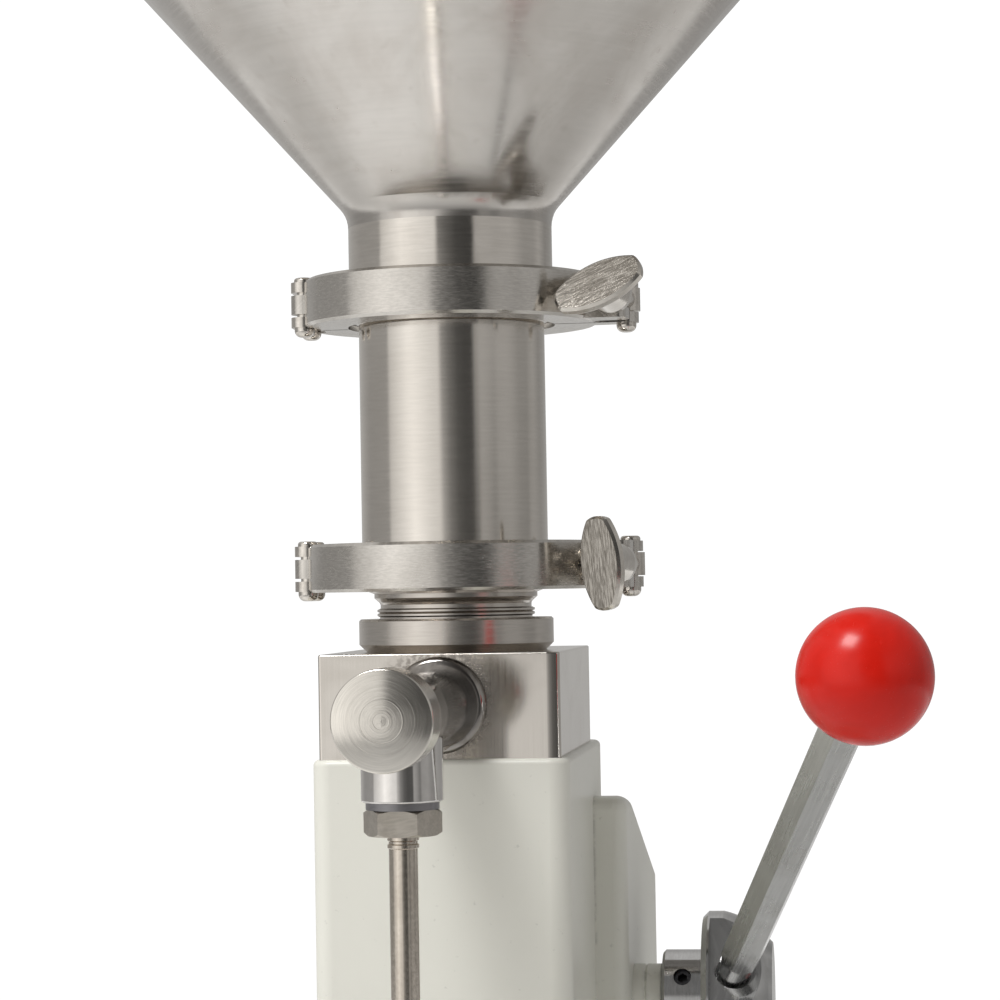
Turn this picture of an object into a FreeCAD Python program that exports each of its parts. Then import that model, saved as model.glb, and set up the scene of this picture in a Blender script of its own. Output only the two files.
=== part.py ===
import FreeCAD, Part
import math
import os

# Hand-lever piston liquid filler, in millimetres.
# Origin: on the bench, under the axis of the pump cylinder. +X is the lever side, -Y the front, +Z up.
# A lever turns a gear, the gear drives a rack, and the rack pulls the piston down through the
# cylinder: liquid below the piston leaves through the outlet ball valve and the nozzle.

V = FreeCAD.Vector
UP = V(0, 0, 1)
RIGHT = V(1, 0, 0)
FRONT = V(0, -1, 0)

RUNNING = 0.05          # radial play between a shaft and the hole it turns or slides in
THREAD_PLAY = 0.1       # radial play of a screw in its plain modelled hole
SNUG = 0.02             # radial play of a pressed or clamped fit
CLEAR = 0.2             # radial play of a screw where it only passes through
BODY_GAP = 0.3          # gap between pieces that move past each other

# Base casting
BASE_X = (-95.0, 95.0)
BASE_Y = (-140.0, 125.0)
BASE_TOP = 22.0
BASE_SKIN = 10.0
BASE_WALL = 9.0
BASE_CORNER_R = 14.0
BENCH_HOLE_R = 4.5
BENCH_HOLE_X = 80.0
BENCH_HOLE_Y = (-125.0, 110.0)
BENCH_BOSS_R = 12.0
BASE_TOP_R = 3.0
BASE_RIB_X = 45.0
BASE_RIB_HALF = 3.0

# Body casting: the column, and the gear case that grows out of its right and its rear
COLUMN_X = 34.0
COLUMN_Y = (-38.0, 59.0)
COLUMN_TOP = 384.0
COLUMN_EDGE_R = 5.0
COLUMN_TOP_R = 1.6
CASE_FRONT = 28.0
CASE_REAR = 112.0
CASE_RIGHT_FRONT = 43.2
CASE_RIGHT_REAR = 45.5
CASE_SHOULDER = (36.0, 369.0)
CASE_SHOULDER_R = 3.5
CASE_EDGE_R = 4.0
CASE_BACK_TOP = 338.0
BODY_WALL = 7.0
BODY_FLOOR = 18.0
COLUMN_LID = 14.0
LINTEL_BOTTOM = 320.0
COVER_THICK = 3.0
COVER_X = (-33.0, 44.0)
COVER_Z = (30.0, 334.0)
COVER_CORNER_R = 5.0
COVER_SCREW_X = (-30.5, 40.6)
COVER_SCREW_Z = (38.0, 181.0, 326.0)
SMALL_SCREW_R = 2.0
COLUMN_BOLT_R = 4.0
COLUMN_BOLT_X = 22.0
COLUMN_BOLT_Y = (-24.0, 96.0)

# Valve block
BLOCK_X = 32.0
BLOCK_Y = (-36.0, 46.0)
BLOCK_TOP = 411.6
BLOCK_BORE_R = 21.0
BLOCK_BORE_FLOOR = 402.8
CHAMBER_R = 18.0
CHAMBER_FLOOR = 393.0
SEAL_ROOM_R = 11.0
SEAL_ROOM_TOP = 389.5
SPIGOT_R = 7.0
SPIGOT_DEPTH = 8.0
BLOCK_SCREW_R = 3.0
BLOCK_SCREW_X = 21.0
BLOCK_SCREW_Y = (-25.0, 36.0)

# Stack of pump parts above the block
RING_TOP = 420.5
RING_R = 26.65
RING_BORE_R = 21.1
NECK_R = 20.7
NECK_BORE_R = 18.0
FLANGE_R = 32.0
FLANGE_RIM = 2.85
FLANGE_SLOPE = math.tan(math.radians(20.0))
GASKET_THICK = 1.5
GASKET_R = 31.6
LOWER_CLAMP_Z = 434.5
UPPER_CLAMP_Z = 507.0
TUBE_R = 25.5
TUBE_BORE_R = 22.5
HOPPER_NECK_R = 28.0
HOPPER_WALL = 1.5
HOPPER_NECK_TOP = 531.0
HOPPER_HALF_ANGLE = math.radians(42.0)
HOPPER_BEND_R = 9.0        # where the cone flows into its neck
HOPPER_R = 150.0
HOPPER_TOP = 770.0
RIM_BEAD_R = 3.0

# Hinged clamps
CLAMP_R = 40.3
CLAMP_LIP_R = 28.4
CLAMP_GROOVE_R = 33.0
CLAMP_HALF_HEIGHT = 6.5
CLAMP_PLAY = 0.12
LINK_X = -40.1
LINK_Y = 5.0
LINK_R = 3.6
LINK_THICK = 2.8
LINK_GAP = 0.8            # between a tongue and its link plates
LUG_HALF_HEIGHT = 2.6
RIVET_R = 2.0
RIVET_HEAD_R = 2.75
RIVET_HEAD_Z = 2.6
RIVET_TOP_Z = 1.4
PIVOT = (47.8, 5.2)
BOLT_LEAN = math.radians(6.2)
BOLT_R = 3.0
EYE_R = 3.9
EYE_HALF_HEIGHT = 3.15
EAR_GAP = 3.45
EAR_HALF_HEIGHT = 6.3
FRONT_EAR_X = (-11.5, 3.0)
FRONT_EAR_END = -9.5
REAR_EAR_X = (-11.5, 3.4)
REAR_EAR_Y = (-3.6, 3.6)
SEAT = 19.0
BOLT_LENGTH = 33.0
NUT_R = 5.5
NUT_HUB = 12.0
NUT_NECK = 5.0
WING_LENGTH = 24.8
WING_WIDTH = 12.6
WING_THICK = 3.0
WING_END_SHARE = 0.5      # width of the plate's ends, as a share of its middle
WING_END_BULGE = 0.9
WING_CORNER_R = 1.6
WING_BEVEL = 0.7
WING_BACK_R = 0.6
WING_TURN = math.radians(23.0)
WEB_REACH = 8.2
WEB_HALF_THICK = 1.9
LOWER_WING_ROLL = 5.0
UPPER_WING_ROLL = -67.0

# Pump internals, drawn with the piston at the top of its stroke
ROD_R = 7.0
ROD_SPIGOT_R = 5.0
ROD_FOOT_R = 3.5
ROD_FOOT = 14.0
GLAND_SCREW_X = 15.5
GLAND_FLANGE = 4.0
GLAND_FLANGE_R = 19.5
GLAND_HALF_WIDTH = 11.5
GLAND_TOP = 385.4
SEAL_R = 10.9
PISTON_R = 21.9
PISTON_Z = (478.0, 496.0)
PISTON_BOSS_R = 8.0
PISTON_BOSS_BOTTOM = 470.0
PORT_COUNT = 6
PORT_R = 3.0
PORT_CIRCLE_R = 13.5
DISC_R = 18.5
DISC_THICK = 3.0
SEAL_Z = (482.0, 489.0)
SEAL_HEIGHT = 3.0
SEAL_GROOVE_R = 19.0

# Gear drive
MODULE = 2.0
GEAR_TEETH = 37
PRESSURE_ANGLE = math.radians(20.0)
TOOTH_THINNING = 0.08
PITCH_R = MODULE * GEAR_TEETH / 2
SHAFT_Y = 45.0
SHAFT_Z = 311.5
SHAFT_R = 6.0
GEAR_HALF_WIDTH = 7.0
RACK_HALF_WIDTH = 8.0
RACK_BACK = -9.0
RACK_PITCH_Y = SHAFT_Y - PITCH_R
RACK_TEETH = 9
RACK_TEETH_BELOW = 2
RACK_PIN_DROP = 7.0
GUIDE_X = 14.0
GUIDE_Z = (272.0, 348.0)
GUIDE_SCREW_Z = (290.0, 330.0)
GEAR_HUB_R = 12.0
GEAR_HUB_X = (-19.0, 20.0)
GEAR_HOLE_COUNT = 5
GEAR_HOLE_CIRCLE_R = 23.0
GEAR_HOLE_R = 6.5
GEAR_PIN_R = 2.5
GEAR_PIN_X = 13.5
GEAR_PIN_HALF = 11.5
BUSHING_R = 8.8
BUSHING_END = 51.6
LEFT_BUSHING_R = 9.0
LEFT_BEARING_X = (-31.0, -19.7)
RIGHT_BEARING_START = 30.5
BEARING_BOSS_R = 13.0
SPACER_R = 8.5
SPACER_X = (20.2, 30.2)

# Lever
HUB_START = 52.0
HUB_NECK_R = 12.8
HUB_NECK_END = 63.6
HUB_RIM = 2.2
HUB_R = 23.7
HUB_END = 83.2
HUB_END_R = 15.8
SHAFT_END = 62.5
LEVER_SWING = math.radians(50.0)
LEVER_RISE = math.radians(30.8)
LEVER_OUT = math.radians(12.7)
LEVER_FLAT = 17.8
LEVER_ROOT_X = 73.0
LEVER_HOLE_R = 5.8
LEVER_SPIGOT_R = 4.9
LEVER_HEX = 10.0
HEX_ROLL = 25.0
HEX_START = 8.0
BALL_R = 16.0
BALL_DISTANCE = 172.0
KNOB_THREAD_R = 4.0
KNOB_NECK_R = 6.2
SET_SCREW_X = 57.9
SET_SCREW_R = 2.4

# Outlet and nozzle
OUTLET_Z = 398.0
OUTLET_R = 9.35
OUTLET_BORE_R = 4.5
BALL_CHAMBER_R = 7.0
BOSS_Y = -98.0
BOSS_R = 10.0
BOSS_TOP = 393.0
BOSS_BOTTOM = 377.5
WELD_R = 12.8
WELD_RISE = 2.6
WELD_ROUND = 2.2
CAP_R = 12.15
CAP_FRONT = -128.0
CAP_BACK = -113.0
CAP_DOME = 1.1            # how far the middle of the cap's face stands out from its rim
CAP_EDGE_R = 0.5
CAP_FACE = 4.4
CAP_THREAD_R = 9.0
CHECK_BALL_R = 5.0
SEAT_FACE_Y = -86.0
NOZZLE_R = 3.5
NOZZLE_BORE_R = 2.5
NOZZLE_RING_RISE = 0.35
NOZZLE_TIP = 239.0
NUT_TOP = 375.7
NUT_BOTTOM = 369.4
NUT_FLATS = 16.6
WASHER_R = 8.9
NUT_THREAD_R = 6.0
NUT_THREAD_TOP = 383.5
SEAT_DEPTH = 4.8
SEAT_MOUTH_R = 4.3
SEAT_BORE_R = 3.6
SPRING_WIRE_R = 0.55
SPRING_R = 3.6
SPRING_TURNS = 6

# Stroke stop
STOP_SLOT_Z = (110.0, 196.0)
STOP_SLOT_HALF = 4.5
STOP_BLOCK_Z = (160.0, 188.0)
STOP_ROD_R = 5.0
STOP_STUD_R = 3.0
STOP_THREAD_R = 3.6
KNOB_R = 14.0
KNOB_GROOVES = 24
SCALE_X = (15.0, 25.0)
SCALE_Z = (100.0, 206.0)
SCALE_THICK = 1.0
SCALE_MARKS = 31
SCALE_FIRST_MARK = 113.0
SCALE_STEP = 2.6
SCALE_SCREW_R = 1.25
SCALE_SCREW_X = 20.0
SCALE_SCREW_Z = (106.0, 200.0)

# Sizes that follow from the ones above
RACK_PITCH = MODULE * math.pi
RACK_BOTTOM = SHAFT_Z - RACK_TEETH_BELOW * RACK_PITCH
RACK_TOP = RACK_BOTTOM + RACK_TEETH * RACK_PITCH
STROKE = PITCH_R * LEVER_SWING
HOPPER_BEND_LENGTH = HOPPER_BEND_R * math.tan(HOPPER_HALF_ANGLE / 2)
HOPPER_SEAM = HOPPER_NECK_TOP - HOPPER_BEND_LENGTH
STOP_ROD_BOTTOM = STOP_BLOCK_Z[1] + STROKE + BODY_GAP


def box(x, y, z):
    """A block between two values on each axis."""
    return Part.makeBox(x[1] - x[0], y[1] - y[0], z[1] - z[0], V(x[0], y[0], z[0]))


def pillar(radius, z, x=0.0, y=0.0):
    """A cylinder along Z."""
    return Part.makeCylinder(radius, z[1] - z[0], V(x, y, z[0]), UP)


def shaft(radius, x, y=SHAFT_Y, z=SHAFT_Z):
    """A cylinder along X."""
    return Part.makeCylinder(radius, x[1] - x[0], V(x[0], y, z), RIGHT)


def forward_rod(radius, y, x=0.0, z=OUTLET_Z):
    """A cylinder along Y, from the rear value to the front value."""
    return Part.makeCylinder(radius, abs(y[0] - y[1]), V(x, max(y), z), FRONT)


def turned(outline):
    """A solid turned about Z from a closed outline of (radius, height) points."""
    points = [V(radius, 0, height) for radius, height in outline]
    return Part.Face(Part.makePolygon(points + points[:1])).revolve(V(0, 0, 0), UP, 360)


def prism(points, vector):
    """A closed outline of points, pushed along a vector."""
    return Part.Face(Part.makePolygon(points + points[:1])).extrude(vector)


def hexagon(flats, z, roll=0.0):
    """A hexagonal bar along Z, with a flat-to-flat size."""
    corner = flats / math.sqrt(3)
    angles = [math.radians(60 * i + roll) for i in range(6)]
    points = [V(corner * math.cos(a), corner * math.sin(a), z[0]) for a in angles]
    return prism(points, V(0, 0, z[1] - z[0]))


def aim(shape, direction, origin, side=UP):
    """Moves a shape drawn along +Z at the origin: +Z turns to direction, and +X towards side."""
    moved = shape.copy()
    turn = FreeCAD.Rotation(side, V(0, 0, 0), direction, "ZXY")
    moved.Placement = FreeCAD.Placement(origin, turn).multiply(moved.Placement)
    return moved


def joined(shapes):
    """Several solids that touch, as one."""
    return shapes[0].fuse(shapes[1:]).removeSplitter()


def round_edges(shape, radius, chosen):
    """Rounds the edges that the test picks."""
    return shape.makeFillet(radius, [edge for edge in shape.Edges if chosen(edge)])


def is_upright(edge):
    """True for a straight edge along Z."""
    start, end = edge.Vertexes[0].Point, edge.Vertexes[-1].Point
    return abs(start.x - end.x) < 1e-6 and abs(start.y - end.y) < 1e-6 and start.z != end.z


def lies_at(edge, z):
    """True for an edge wholly at one height."""
    return all(abs(vertex.Z - z) < 1e-6 for vertex in edge.Vertexes)


def cap_screw(radius, length, head_r, head_height):
    """A socket-head screw: the head's underside is at Z = 0 and the shank points down."""
    shank = pillar(radius, (-length, 0))
    head = pillar(head_r, (0, head_height))
    socket = hexagon(head_r * 1.05, (head_height * 0.45, head_height))
    return joined([shank, head]).cut(socket)


def screw_group(screw, direction, places):
    """Copies of one screw, all pointing the same way with their heads towards direction."""
    side = UP if abs(direction.z) < 0.5 else RIGHT
    return Part.makeCompound([aim(screw, direction, place, side) for place in places])


# ---------------------------------------------------------------- frame


def column_bolt_places(z):
    return [V(side * COLUMN_BOLT_X, y, z) for side in (-1, 1) for y in COLUMN_BOLT_Y]


def bench_hole_places():
    return [(side * BENCH_HOLE_X, y) for side in (-1, 1) for y in BENCH_HOLE_Y]


def base_casting():
    slab = round_edges(box(BASE_X, BASE_Y, (0, BASE_TOP)), BASE_CORNER_R, is_upright)
    slab = round_edges(slab, BASE_TOP_R, lambda edge: lies_at(edge, BASE_TOP))
    inner_x = (BASE_X[0] + BASE_WALL, BASE_X[1] - BASE_WALL)
    inner_y = (BASE_Y[0] + BASE_WALL, BASE_Y[1] - BASE_WALL)
    pocket_top = BASE_TOP - BASE_SKIN
    pocket = box(inner_x, inner_y, (0, pocket_top))
    for x, y in bench_hole_places():
        pocket = pocket.cut(pillar(BENCH_BOSS_R, (0, pocket_top), x, y))
    for x in (-BASE_RIB_X, BASE_RIB_X):
        rib_x = (x - BASE_RIB_HALF, x + BASE_RIB_HALF)
        pocket = pocket.cut(box(rib_x, inner_y, (3, pocket_top)))
    casting = slab.cut(pocket)
    holes = [pillar(BENCH_HOLE_R, (0, BASE_TOP), x, y) for x, y in bench_hole_places()]
    for place in column_bolt_places(0):
        holes.append(pillar(COLUMN_BOLT_R + 0.3, (0, BASE_TOP), place.x, place.y))
    return casting.cut(Part.makeCompound(holes))


def column_bolts():
    screw = cap_screw(COLUMN_BOLT_R, BASE_SKIN + 14, 6.5, 8.0)
    return screw_group(screw, V(0, 0, -1), column_bolt_places(BASE_TOP - BASE_SKIN))


def case_side_outline(inset, x):
    """The gear case seen from the side, drawn in from its outer faces by inset."""
    slope = (CASE_SHOULDER[1] - CASE_BACK_TOP) / (CASE_REAR - CASE_SHOULDER[0])
    drop = inset * math.sqrt(1 + slope * slope)
    top_front = CASE_SHOULDER[1] - drop
    return [
        V(x, CASE_FRONT + inset, BASE_TOP),
        V(x, CASE_FRONT + inset, top_front),
        V(x, CASE_SHOULDER[0], top_front),
        V(x, CASE_REAR, CASE_BACK_TOP - drop),
        V(x, CASE_REAR, BASE_TOP),
    ]


def gear_case_outside():
    plan = [
        V(-COLUMN_X, CASE_FRONT, BASE_TOP),
        V(CASE_RIGHT_FRONT, CASE_FRONT, BASE_TOP),
        V(CASE_RIGHT_REAR, CASE_REAR, BASE_TOP),
        V(-COLUMN_X, CASE_REAR, BASE_TOP),
    ]
    block = prism(plan, V(0, 0, COLUMN_TOP - BASE_TOP))
    block = round_edges(block, CASE_EDGE_R,
                        lambda edge: is_upright(edge) and edge.Vertexes[0].X > 0)
    side = prism(case_side_outline(0, -COLUMN_X), V(COLUMN_X + CASE_RIGHT_REAR + 1, 0, 0))
    case = block.common(side)
    return round_edges(case, CASE_SHOULDER_R, is_front_shoulder)


def is_front_shoulder(edge):
    """True for the gear case's top front edge."""
    points = [vertex.Point for vertex in edge.Vertexes]
    level = all(abs(p.z - CASE_SHOULDER[1]) < 1e-6 for p in points)
    return level and all(abs(p.y - CASE_FRONT) < 1e-3 for p in points)


def column_outside():
    column = box((-COLUMN_X, COLUMN_X), COLUMN_Y, (BASE_TOP, COLUMN_TOP))
    column = round_edges(column, COLUMN_EDGE_R, is_upright)
    return round_edges(column, COLUMN_TOP_R, lambda edge: lies_at(edge, COLUMN_TOP))


def body_casting():
    outside = joined([column_outside(), gear_case_outside()])
    floor = BASE_TOP + BODY_FLOOR
    inner_x = COLUMN_X - BODY_WALL
    case_right = CASE_RIGHT_FRONT - BODY_WALL
    column_room = box(
        (-inner_x, inner_x),
        (COLUMN_Y[0] + BODY_WALL, COLUMN_Y[1] - BODY_WALL),
        (floor, COLUMN_TOP - COLUMN_LID),
    )
    column_room = round_edges(column_room, 3.0, is_upright)
    case_block = box((-inner_x, case_right), (CASE_FRONT, CASE_REAR), (floor, COLUMN_TOP))
    case_room = case_block.common(
        prism(case_side_outline(BODY_WALL, -COLUMN_X), V(2 * COLUMN_X + 20, 0, 0))
    )
    rim = box((-COLUMN_X, CASE_RIGHT_REAR), (CASE_REAR - BODY_WALL, CASE_REAR),
              (LINTEL_BOTTOM, COLUMN_TOP))
    casting = outside.cut(column_room).cut(case_room.cut(rim))
    left_boss = shaft(BEARING_BOSS_R, (-COLUMN_X + 1, LEFT_BEARING_X[1]))
    right_boss = shaft(BEARING_BOSS_R, (RIGHT_BEARING_START, CASE_RIGHT_FRONT - 1))
    casting = joined([casting, left_boss, right_boss])
    cuts = [
        shaft(BUSHING_R, (RIGHT_BEARING_START, CASE_RIGHT_REAR + 1)),
        shaft(LEFT_BUSHING_R, LEFT_BEARING_X),
        pillar(SEAL_ROOM_R, (COLUMN_TOP - COLUMN_LID, COLUMN_TOP)),
        box((-STOP_SLOT_HALF, STOP_SLOT_HALF), (COLUMN_Y[0], COLUMN_Y[0] + BODY_WALL),
            STOP_SLOT_Z),
    ]
    small_hole_r = SMALL_SCREW_R + THREAD_PLAY
    for place in column_bolt_places(BASE_TOP):
        cuts.append(pillar(COLUMN_BOLT_R + THREAD_PLAY, (BASE_TOP, BASE_TOP + 16),
                           place.x, place.y))
    for place in block_screw_places(COLUMN_TOP - COLUMN_LID):
        cuts.append(pillar(BLOCK_SCREW_R + 0.3, (COLUMN_TOP - COLUMN_LID, COLUMN_TOP),
                           place.x, place.y))
    for place in gland_screw_places(COLUMN_TOP - COLUMN_LID):
        cuts.append(pillar(small_hole_r, (place.z, place.z + 10), place.x, place.y))
    for place in guide_screw_places():
        cuts.append(forward_rod(small_hole_r, (place.y, place.y - 5.5), place.x, place.z))
    for place in cover_screw_places():
        cuts.append(forward_rod(small_hole_r, (CASE_REAR, CASE_REAR - 12), place.x, place.z))
    for x, z in scale_screw_places():
        cuts.append(forward_rod(SCALE_SCREW_R + RUNNING, (COLUMN_Y[0], COLUMN_Y[0] + 5), x, z))
    return casting.cut(Part.makeCompound(cuts))


def cover_screw_places():
    return [V(x, CASE_REAR + COVER_THICK, z) for x in COVER_SCREW_X for z in COVER_SCREW_Z]


def rear_cover():
    plate = box(COVER_X, (CASE_REAR, CASE_REAR + COVER_THICK), COVER_Z)
    plate = round_edges(plate, COVER_CORNER_R, is_corner_of_cover)
    hole_r = SMALL_SCREW_R + CLEAR
    holes = [forward_rod(hole_r, (p.y, p.y - COVER_THICK), p.x, p.z)
             for p in cover_screw_places()]
    return plate.cut(Part.makeCompound(holes))


def is_corner_of_cover(edge):
    """True for a straight edge along Y."""
    start, end = edge.Vertexes[0].Point, edge.Vertexes[-1].Point
    return abs(start.x - end.x) < 1e-6 and abs(start.z - end.z) < 1e-6


def rear_cover_screws():
    screw = cap_screw(SMALL_SCREW_R, COVER_THICK + 8, 3.5, 3.0)
    return screw_group(screw, V(0, 1, 0), cover_screw_places())


# ---------------------------------------------------------------- valve block and pump stack


def block_screw_places(z):
    return [V(side * BLOCK_SCREW_X, y, z) for side in (-1, 1) for y in BLOCK_SCREW_Y]


def valve_block():
    block = box((-BLOCK_X, BLOCK_X), BLOCK_Y, (COLUMN_TOP, BLOCK_TOP))
    block = round_edges(block, 0.8, is_upright)
    block = round_edges(block, 0.5, lambda edge: lies_at(edge, BLOCK_TOP))
    cuts = [
        pillar(BLOCK_BORE_R, (BLOCK_BORE_FLOOR, BLOCK_TOP)),
        pillar(CHAMBER_R, (CHAMBER_FLOOR, BLOCK_BORE_FLOOR)),
        pillar(SEAL_ROOM_R, (COLUMN_TOP, SEAL_ROOM_TOP)),
        pillar(ROD_R + RUNNING, (SEAL_ROOM_TOP, CHAMBER_FLOOR)),
        forward_rod(OUTLET_BORE_R, (0, BLOCK_Y[0]), z=OUTLET_Z),
        forward_rod(SPIGOT_R, (BLOCK_Y[0] + SPIGOT_DEPTH, BLOCK_Y[0]), z=OUTLET_Z),
    ]
    for place in block_screw_places(COLUMN_TOP):
        cuts.append(pillar(BLOCK_SCREW_R + THREAD_PLAY, (COLUMN_TOP, COLUMN_TOP + 14),
                           place.x, place.y))
    return block.cut(Part.makeCompound(cuts))


def block_screws():
    screw = cap_screw(BLOCK_SCREW_R, COLUMN_LID + 12, 5.0, 6.0)
    return screw_group(screw, V(0, 0, -1), block_screw_places(COLUMN_TOP - COLUMN_LID))


def lock_ring():
    return turned([
        (RING_BORE_R, BLOCK_TOP),
        (RING_R - 2.0, BLOCK_TOP),
        (RING_R, BLOCK_TOP + 2.0),
        (RING_R, RING_TOP - 0.5),
        (RING_R - 0.5, RING_TOP),
        (RING_BORE_R, RING_TOP),
    ])


def flange_outline(face_z, tube_r, away, reach):
    """A clamp flange's outer profile, from its gasket face to the tube it runs into."""
    rim = face_z + away * FLANGE_RIM
    root = rim + away * (FLANGE_R - tube_r) * FLANGE_SLOPE
    return [(FLANGE_R, face_z), (FLANGE_R, rim), (tube_r, root), (tube_r, reach)]


def lower_ferrule():
    face = LOWER_CLAMP_Z - GASKET_THICK / 2
    outline = flange_outline(face, 22.35, -1, 426.2)
    outline += [
        (21.0, 425.0), (NECK_R, 424.4), (NECK_R, 423.4),
        (21.6, 423.0), (21.6, 422.5), (20.9, 422.2),
        (21.6, 421.9), (21.6, 421.4), (20.9, 421.0), (20.9, BLOCK_BORE_FLOOR + 0.3),
        (NECK_BORE_R, BLOCK_BORE_FLOOR + 0.3), (NECK_BORE_R, face),
    ]
    return turned(outline)


def clamp_gaskets():
    rings = []
    for z, bore in ((LOWER_CLAMP_Z, 18.5), (UPPER_CLAMP_Z, TUBE_BORE_R + 0.3)):
        half = GASKET_THICK / 2
        rings.append(turned([(bore, z - half), (GASKET_R, z - half), (GASKET_R, z + half),
                             (bore, z + half)]))
    return Part.makeCompound(rings)


def cylinder_tube():
    bottom = LOWER_CLAMP_Z + GASKET_THICK / 2
    top = UPPER_CLAMP_Z - GASKET_THICK / 2
    middle = (bottom + top) / 2
    lower = flange_outline(bottom, TUBE_R, 1, middle)
    upper = flange_outline(top, TUBE_R, -1, middle)
    outline = lower + upper[::-1][1:]
    return turned(outline + [(TUBE_BORE_R, top), (TUBE_BORE_R, bottom)])


def hopper_ferrule():
    face = UPPER_CLAMP_Z + GASKET_THICK / 2
    outline = flange_outline(face, HOPPER_NECK_R, 1, HOPPER_SEAM)
    bore = HOPPER_NECK_R - HOPPER_WALL
    return turned(outline + [(bore, HOPPER_SEAM), (bore, face + 3), (TUBE_BORE_R + 1, face)])


def bend_point(radius, angle):
    """A point of the bend between neck and cone, about the bend's own centre."""
    return V(HOPPER_NECK_R + HOPPER_BEND_R - radius * math.cos(angle), 0,
             HOPPER_SEAM + radius * math.sin(angle))


def hopper_shell():
    """The cone, its bend into the neck, the straight wall and the rolled rim."""
    inner_bend = HOPPER_BEND_R + HOPPER_WALL
    shoulder = HOPPER_NECK_TOP + (HOPPER_R - HOPPER_NECK_R) / math.tan(HOPPER_HALF_ANGLE)
    inner_shoulder = shoulder + HOPPER_WALL * math.tan(HOPPER_HALF_ANGLE / 2)
    inner_r = HOPPER_R - HOPPER_WALL
    wall_top = HOPPER_TOP - RIM_BEAD_R
    arcs = []
    for radius in (HOPPER_BEND_R, inner_bend):
        arcs.append([bend_point(radius, HOPPER_HALF_ANGLE * share) for share in (0, 0.5, 1)])
    outer, inner = arcs
    straight = [outer[2], V(HOPPER_R, 0, shoulder), V(HOPPER_R, 0, wall_top),
                V(inner_r, 0, wall_top), V(inner_r, 0, inner_shoulder), inner[2]]
    edges = [Part.Arc(*outer).toShape()]
    edges += [Part.makeLine(straight[i], straight[i + 1]) for i in range(len(straight) - 1)]
    edges += [Part.Arc(*inner[::-1]).toShape(), Part.makeLine(inner[0], outer[0])]
    shell = Part.Face(Part.Wire(edges)).revolve(V(0, 0, 0), UP, 360)
    bead = Part.makeTorus(HOPPER_R + 1, RIM_BEAD_R, V(0, 0, wall_top), UP)
    return joined([shell, bead])


# ---------------------------------------------------------------- clamps


def bolt_direction():
    return V(-math.sin(BOLT_LEAN), -math.cos(BOLT_LEAN), 0)


def in_clasp(shape, clamp_z):
    """Moves a shape drawn about the bolt pivot, with the bolt along -Y, to its clamp."""
    moved = shape.copy()
    moved.rotate(V(0, 0, 0), UP, -math.degrees(BOLT_LEAN))
    moved.translate(V(PIVOT[0], PIVOT[1], clamp_z))
    return moved


def band(clamp_z):
    """The clamp's full ring: a band with a vee groove that wedges over both flanges."""
    half = CLAMP_HALF_HEIGHT
    groove_half = GASKET_THICK / 2 + FLANGE_RIM + CLAMP_PLAY
    lip_half = groove_half + (FLANGE_R - CLAMP_LIP_R) * FLANGE_SLOPE
    ring = turned([
        (CLAMP_LIP_R, -half), (CLAMP_R - 0.8, -half), (CLAMP_R, 0.8 - half),
        (CLAMP_R, half - 0.8), (CLAMP_R - 0.8, half), (CLAMP_LIP_R, half),
        (CLAMP_LIP_R, lip_half), (FLANGE_R, groove_half), (CLAMP_GROOVE_R, groove_half),
        (CLAMP_GROOVE_R, -groove_half), (FLANGE_R, -groove_half), (CLAMP_LIP_R, -lip_half),
    ])
    ring.translate(V(0, 0, clamp_z))
    return ring


def groove_room(clamp_z):
    """Everything inside the band: cut from the lugs so that they stay outside it."""
    half = CLAMP_HALF_HEIGHT + 1
    return pillar(CLAMP_R - 2.5, (clamp_z - half, clamp_z + half))


def hinge_lug(clamp_z, side):
    """The tongue at the left end of a half: side is -1 at the front and +1 at the rear."""
    z = (clamp_z - LUG_HALF_HEIGHT, clamp_z + LUG_HALF_HEIGHT)
    pin_y = side * LINK_Y
    y = sorted((pin_y - side * LINK_R * 0.9, pin_y + side * LINK_R))
    lug = pillar(LINK_R, z, LINK_X, pin_y).fuse(box((LINK_X, LINK_X + 6), y, z))
    return lug.cut(groove_room(clamp_z))


def link_room(clamp_z):
    """The space milled away above and below the tongues, for the link plates."""
    rooms = []
    for low in (-CLAMP_HALF_HEIGHT - 0.5, LUG_HALF_HEIGHT):
        z = (clamp_z + low, clamp_z + low + CLAMP_HALF_HEIGHT + 0.5 - LUG_HALF_HEIGHT)
        for side in (-1, 1):
            rooms.append(pillar(LINK_R + 0.5, z, LINK_X, side * LINK_Y))
        rooms.append(box((LINK_X - 5, LINK_X + LINK_R + 0.5), (-LINK_Y, LINK_Y), z))
    return Part.makeCompound(rooms)


def half_band(clamp_z, side):
    """One half of the band, cut where the halves part."""
    y = sorted((side * 0.6, side * 60))
    return band(clamp_z).common(box((-60, 60), y, (clamp_z - 10, clamp_z + 10)))


def ears(x, y, solid_to, corner_r, clamp_z):
    """A pair of ears about the swing bolt, drawn about its pivot, solid towards the band."""
    z = (-EAR_HALF_HEIGHT, EAR_HALF_HEIGHT)
    block = round_edges(box(x, y, z), corner_r,
                        lambda edge: is_upright(edge) and edge.Vertexes[0].X > 0)
    slot = box((solid_to, x[1] + 1), (y[0] - 1, y[1] + 1), (-EAR_GAP, EAR_GAP))
    return in_clasp(block.cut(slot), clamp_z).cut(groove_room(clamp_z))


def clamp_front(clamp_z):
    lug = ears(FRONT_EAR_X, (-SEAT, FRONT_EAR_END), -4.2, 2.4, clamp_z)
    half = joined([half_band(clamp_z, -1), lug, hinge_lug(clamp_z, -1)])
    hole = pillar(RIVET_R + RUNNING, (clamp_z - 10, clamp_z + 10), LINK_X, -LINK_Y)
    return half.cut(link_room(clamp_z)).cut(hole)


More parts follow.
